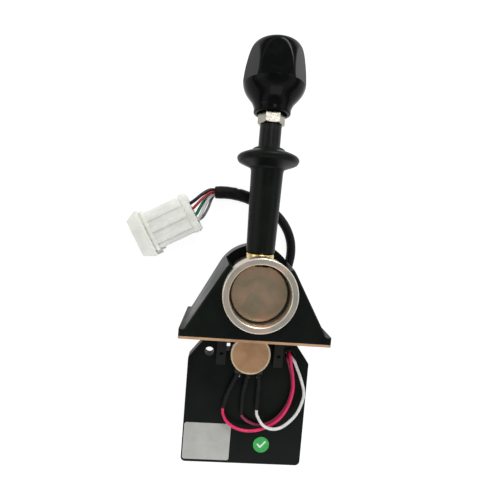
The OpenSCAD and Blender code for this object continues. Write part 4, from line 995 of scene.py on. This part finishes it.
def stickerFinish(setup):
    material, tree, shader = newMaterial("greenSticker")
    place = objectPlace(tree, tuple(at(*setup["sticker"], 0)))
    parts = addNode(tree, "ShaderNodeSeparateXYZ", Vector=place)
    nearest = None
    for (x0, y0), (x1, y1) in setup["tick"]:
        # Distance from a stroke of the tick
        length = math.hypot(x1 - x0, y1 - y0)
        ux, uy = (x1 - x0) / length, (y1 - y0) / length
        dx = maths(tree, "SUBTRACT", parts.outputs["X"], x0 * mm)
        dy = maths(tree, "SUBTRACT", parts.outputs["Y"], y0 * mm)
        along = maths(tree, "ADD", maths(tree, "MULTIPLY", dx, ux), maths(tree, "MULTIPLY", dy, uy))
        along = maths(tree, "SUBTRACT", along, maths(tree, "MINIMUM", maths(tree, "MAXIMUM", along, 0), length * mm))
        aside = maths(tree, "SUBTRACT", maths(tree, "MULTIPLY", dy, ux), maths(tree, "MULTIPLY", dx, uy))
        far = maths(tree, "SQRT", maths(tree, "ADD", maths(tree, "MULTIPLY", along, along),
                                        maths(tree, "MULTIPLY", aside, aside)))
        nearest = far if nearest is None else maths(tree, "MINIMUM", nearest, far)
    half = setup["tickWidth"] * mm
    ink = between(tree, nearest, 1, 0, half * 0.85, half * 1.15)
    fibre = noise(tree, place, 500, 3)
    green = mottled(tree, fibre, setup["green"], 0.85, 1.2)
    setShader(tree, shader, Base_Color=colourMix(tree, ink, green, setup["white"]),
              Roughness=between(tree, fibre, 0.34, 0.5), Normal=bump(tree, fibre, 0.006, 0.5))
    return material


def labelFinish(colour):
    material, tree, shader = newMaterial("bareLabel")
    place = objectPlace(tree)
    cloud = noise(tree, place, 110, 4, 0.6, 0.3)
    fibre = noise(tree, objectPlace(tree, (0, 0, 0), (2600, 500, 2600)), 1.0, 2)
    tone = mottled(tree, cloud, colour, 0.92, 1.08, 0.35, 0.7)
    tone = colourMix(tree, between(tree, fibre, 0, 0.2, 0.5, 0.8), tone, scaled(colour, 0.85))
    height = maths(tree, "ADD", cloud, maths(tree, "MULTIPLY", fibre, 0.1))
    setShader(tree, shader, Base_Color=tone, Roughness=between(tree, cloud, 0.38, 0.52),
              Normal=bump(tree, height, 0.02, 0.5))
    return material


def boardFinish(name, colour):
    # Solder mask with darker traces on a plain grid
    material, tree, shader = newMaterial(name)
    place = objectPlace(tree)
    cells = addNode(tree, "ShaderNodeTexVoronoi", {"distance": "CHEBYCHEV"}, Vector=place, Scale=420.0)
    trace = between(tree, cells.outputs["Distance"], 1, 0, 0.32, 0.38)
    cloud = noise(tree, place, 200, 3)
    tone = colourMix(tree, trace, colour, scaled(colour, 0.55))
    tone = colourMix(tree, between(tree, cloud, 0, 0.4, 0.4, 0.7), tone, scaled(colour, 1.4))
    setShader(tree, shader, Base_Color=tone, Roughness=between(tree, cloud, 0.25, 0.4),
              Normal=bump(tree, trace, 0.03, 0.6))
    return material


# Every CAD node that stays in view has its own finish.
finishes = {
    "base_gasket": softRubber("gasketTan", (0.47, 0.29, 0.17), 0.75, 0.05, 1100),
    "front_bush": mouldedPlastic("bushPolymer", (0.006, 0.006, 0.006), 0.5, 0.01, 0.3),
    "rear_bush": platedMetal("bushBronze", (0.5, 0.34, 0.17), 0.4, 0.5),
    "centering_spring": platedMetal("springSteel", (0.42, 0.42, 0.43), 0.26, 0.3, 700, (1, 1, 4)),
    "hub_drum": mouldedPlastic("drumBlack", (0.007, 0.0075, 0.007), 0.36, 0.01, 0.45),
    "pivot_shaft": platedMetal("shaftSteel", (0.56, 0.56, 0.56), 0.2, 0.2, 1200),
    "retaining_clip": platedMetal("clipSteel", (0.2, 0.2, 0.21), 0.34, 0.3),
    "sector_gear": platedMetal("gearSteel", (0.5, 0.5, 0.49), 0.34, 0.4, 800),
    "lever_rod": turnedMetal("rodSteel", (0.5, 0.5, 0.49), (0.42, 0.41, 0.4), 0.3, pivot, "y", 0.3),
    "circuit_board": boardFinish("solderMask", (0.012, 0.11, 0.04)),
    "pot_body": mouldedPlastic("phenolicBrown", pot["phenolic"], 0.45, 0.02, 0.35),
    "pot_nut": platedMetal("potNutSteel", (0.55, 0.55, 0.53), 0.28, 0.3),
    "pot_terminals": platedMetal("lugTin", (0.6, 0.59, 0.56), 0.3, 0.4),
    "pot_shaft": platedMetal("potShaftSteel", (0.56, 0.56, 0.57), 0.24, 0.2),
    "pinion": turnedMetal("pinionBrass", (0.7, 0.5, 0.2), (0.6, 0.4, 0.14), 0.3, potAxis, "z", 0.25),
    "blank_label": labelFinish(flatPieces["label"]),
    "check_sticker": stickerFinish(flatPieces),
}
for node, finish in finishes.items():
    for materialSlot in nodes[node].material_slots:
        materialSlot.material = finish
print(f"{len(finishes)} frame pieces finished")

# The spring in the lock sleeve stands on the tube's shoulder.
lockSpring = {"steel": (0.5, 0.5, 0.51), "lift": 6.0}
springFinish = platedMetal("lockSpringSteel", lockSpring["steel"], 0.26, 0.3, 700, (1, 4, 1))
springPiece = newPiece("lockSpring", nodeCopy("lock_spring"), springFinish, "lever", ["lock_spring"],
                       level=False)
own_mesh(springPiece)

# The floor is plain and white to the eye, and keeps the object's soft shadow.
studio = {"floorSize": 3.0, "floorGrey": 0.78, "shadow": 0.2, "floorGlow": 0.92,
          "sky": [(0.0, 0.25), (0.25, 0.3), (0.4, 1.15), (0.62, 1.15), (0.78, 0.32), (1.0, 0.22)]}


def makeFloor(setup):
    size = setup["floorSize"]
    mesh = bpy.data.meshes.new("floor")
    mesh.from_pydata([(-size, -size, 0), (size, -size, 0), (size, size, 0), (-size, size, 0)], [], [(0, 1, 2, 3)])
    floor = newObject("floor", mesh)
    material, tree, shader = newMaterial("studioFloor")
    grey = setup["floorGrey"]
    setShader(tree, shader, Base_Color=(grey, grey, grey), Roughness=0.9, Specular_IOR_Level=0.0)
    seen = tree.nodes.new("ShaderNodeLightPath")
    eye = maths(tree, "MAXIMUM", seen.outputs["Is Camera Ray"],
                maths(tree, "MAXIMUM", seen.outputs["Is Glossy Ray"], seen.outputs["Is Transmission Ray"]))
    shade = setup["shadow"]
    pale = addNode(tree, "ShaderNodeBsdfDiffuse", Color=(shade, shade, shade, 1))
    glow = addNode(tree, "ShaderNodeEmission", Color=(1, 1, 1, 1), Strength=setup["floorGlow"])
    both = tree.nodes.new("ShaderNodeAddShader")
    tree.links.new(pale.outputs[0], both.inputs[0])
    tree.links.new(glow.outputs[0], both.inputs[1])
    mix = tree.nodes.new("ShaderNodeMixShader")
    tree.links.new(eye, mix.inputs[0])
    tree.links.new(shader.outputs[0], mix.inputs[1])
    tree.links.new(both.outputs[0], mix.inputs[2])
    tree.links.new(mix.outputs[0], tree.nodes["Material Output"].inputs["Surface"])
    mesh.materials.append(material)


def makeWorld(setup):
    world = bpy.data.worlds.new("studio")
    scene.world = world
    world.use_nodes = True
    tree = world.node_tree
    background = tree.nodes["Background"]
    direction = tree.nodes.new("ShaderNodeTexCoord").outputs["Generated"]
    parts = addNode(tree, "ShaderNodeSeparateXYZ", Vector=direction)
    ramp = addNode(tree, "ShaderNodeValToRGB", Fac=parts.outputs["Z"])
    stops = ramp.color_ramp.elements
    for i, (height, light) in enumerate(setup["sky"]):
        stop = stops[i] if i < 2 else stops.new(height)
        stop.position, stop.color = height, (light / 2, light / 2, light / 2, 1)
    level = maths(tree, "MULTIPLY", ramp.outputs["Color"], 2.0)
    seen = tree.nodes.new("ShaderNodeLightPath")
    strength = tree.nodes.new("ShaderNodeMix")
    strength.data_type = "FLOAT"
    tree.links.new(seen.outputs["Is Camera Ray"], strength.inputs[0])
    tree.links.new(level, strength.inputs[2])
    strength.inputs[3].default_value = 1.0
    background.inputs["Color"].default_value = (1, 1, 1, 1)
    tree.links.new(strength.outputs[0], background.inputs["Strength"])


def softBox(name, place, aim, size, power):
    data = bpy.data.lights.new(name, "AREA")
    data.shape = "RECTANGLE"
    data.size, data.size_y = size
    data.energy = power
    light = newObject(name, data)
    light.location = at(*place)
    light.rotation_mode = "QUATERNION"
    light.rotation_quaternion = (at(*aim) - light.location).to_track_quat("-Z", "Y")


makeFloor(studio)
makeWorld(studio)
softBox("keyLight", (260, 800, 480), (0, 60, 0), (0.42, 0.34), 5.0)
softBox("ceilingLight", (110, 420, 900), (0, 90, 0), (0.24, 0.24), 0.8)
softBox("sideLight", (-640, 60, 430), (0, 0, 0), (0.3, 0.7), 0.45)
softBox("footLight", (60, -700, 480), (0, -40, 0), (0.7, 0.25), 0.9)
scene.view_settings.view_transform = "Standard"
print("studio ready")
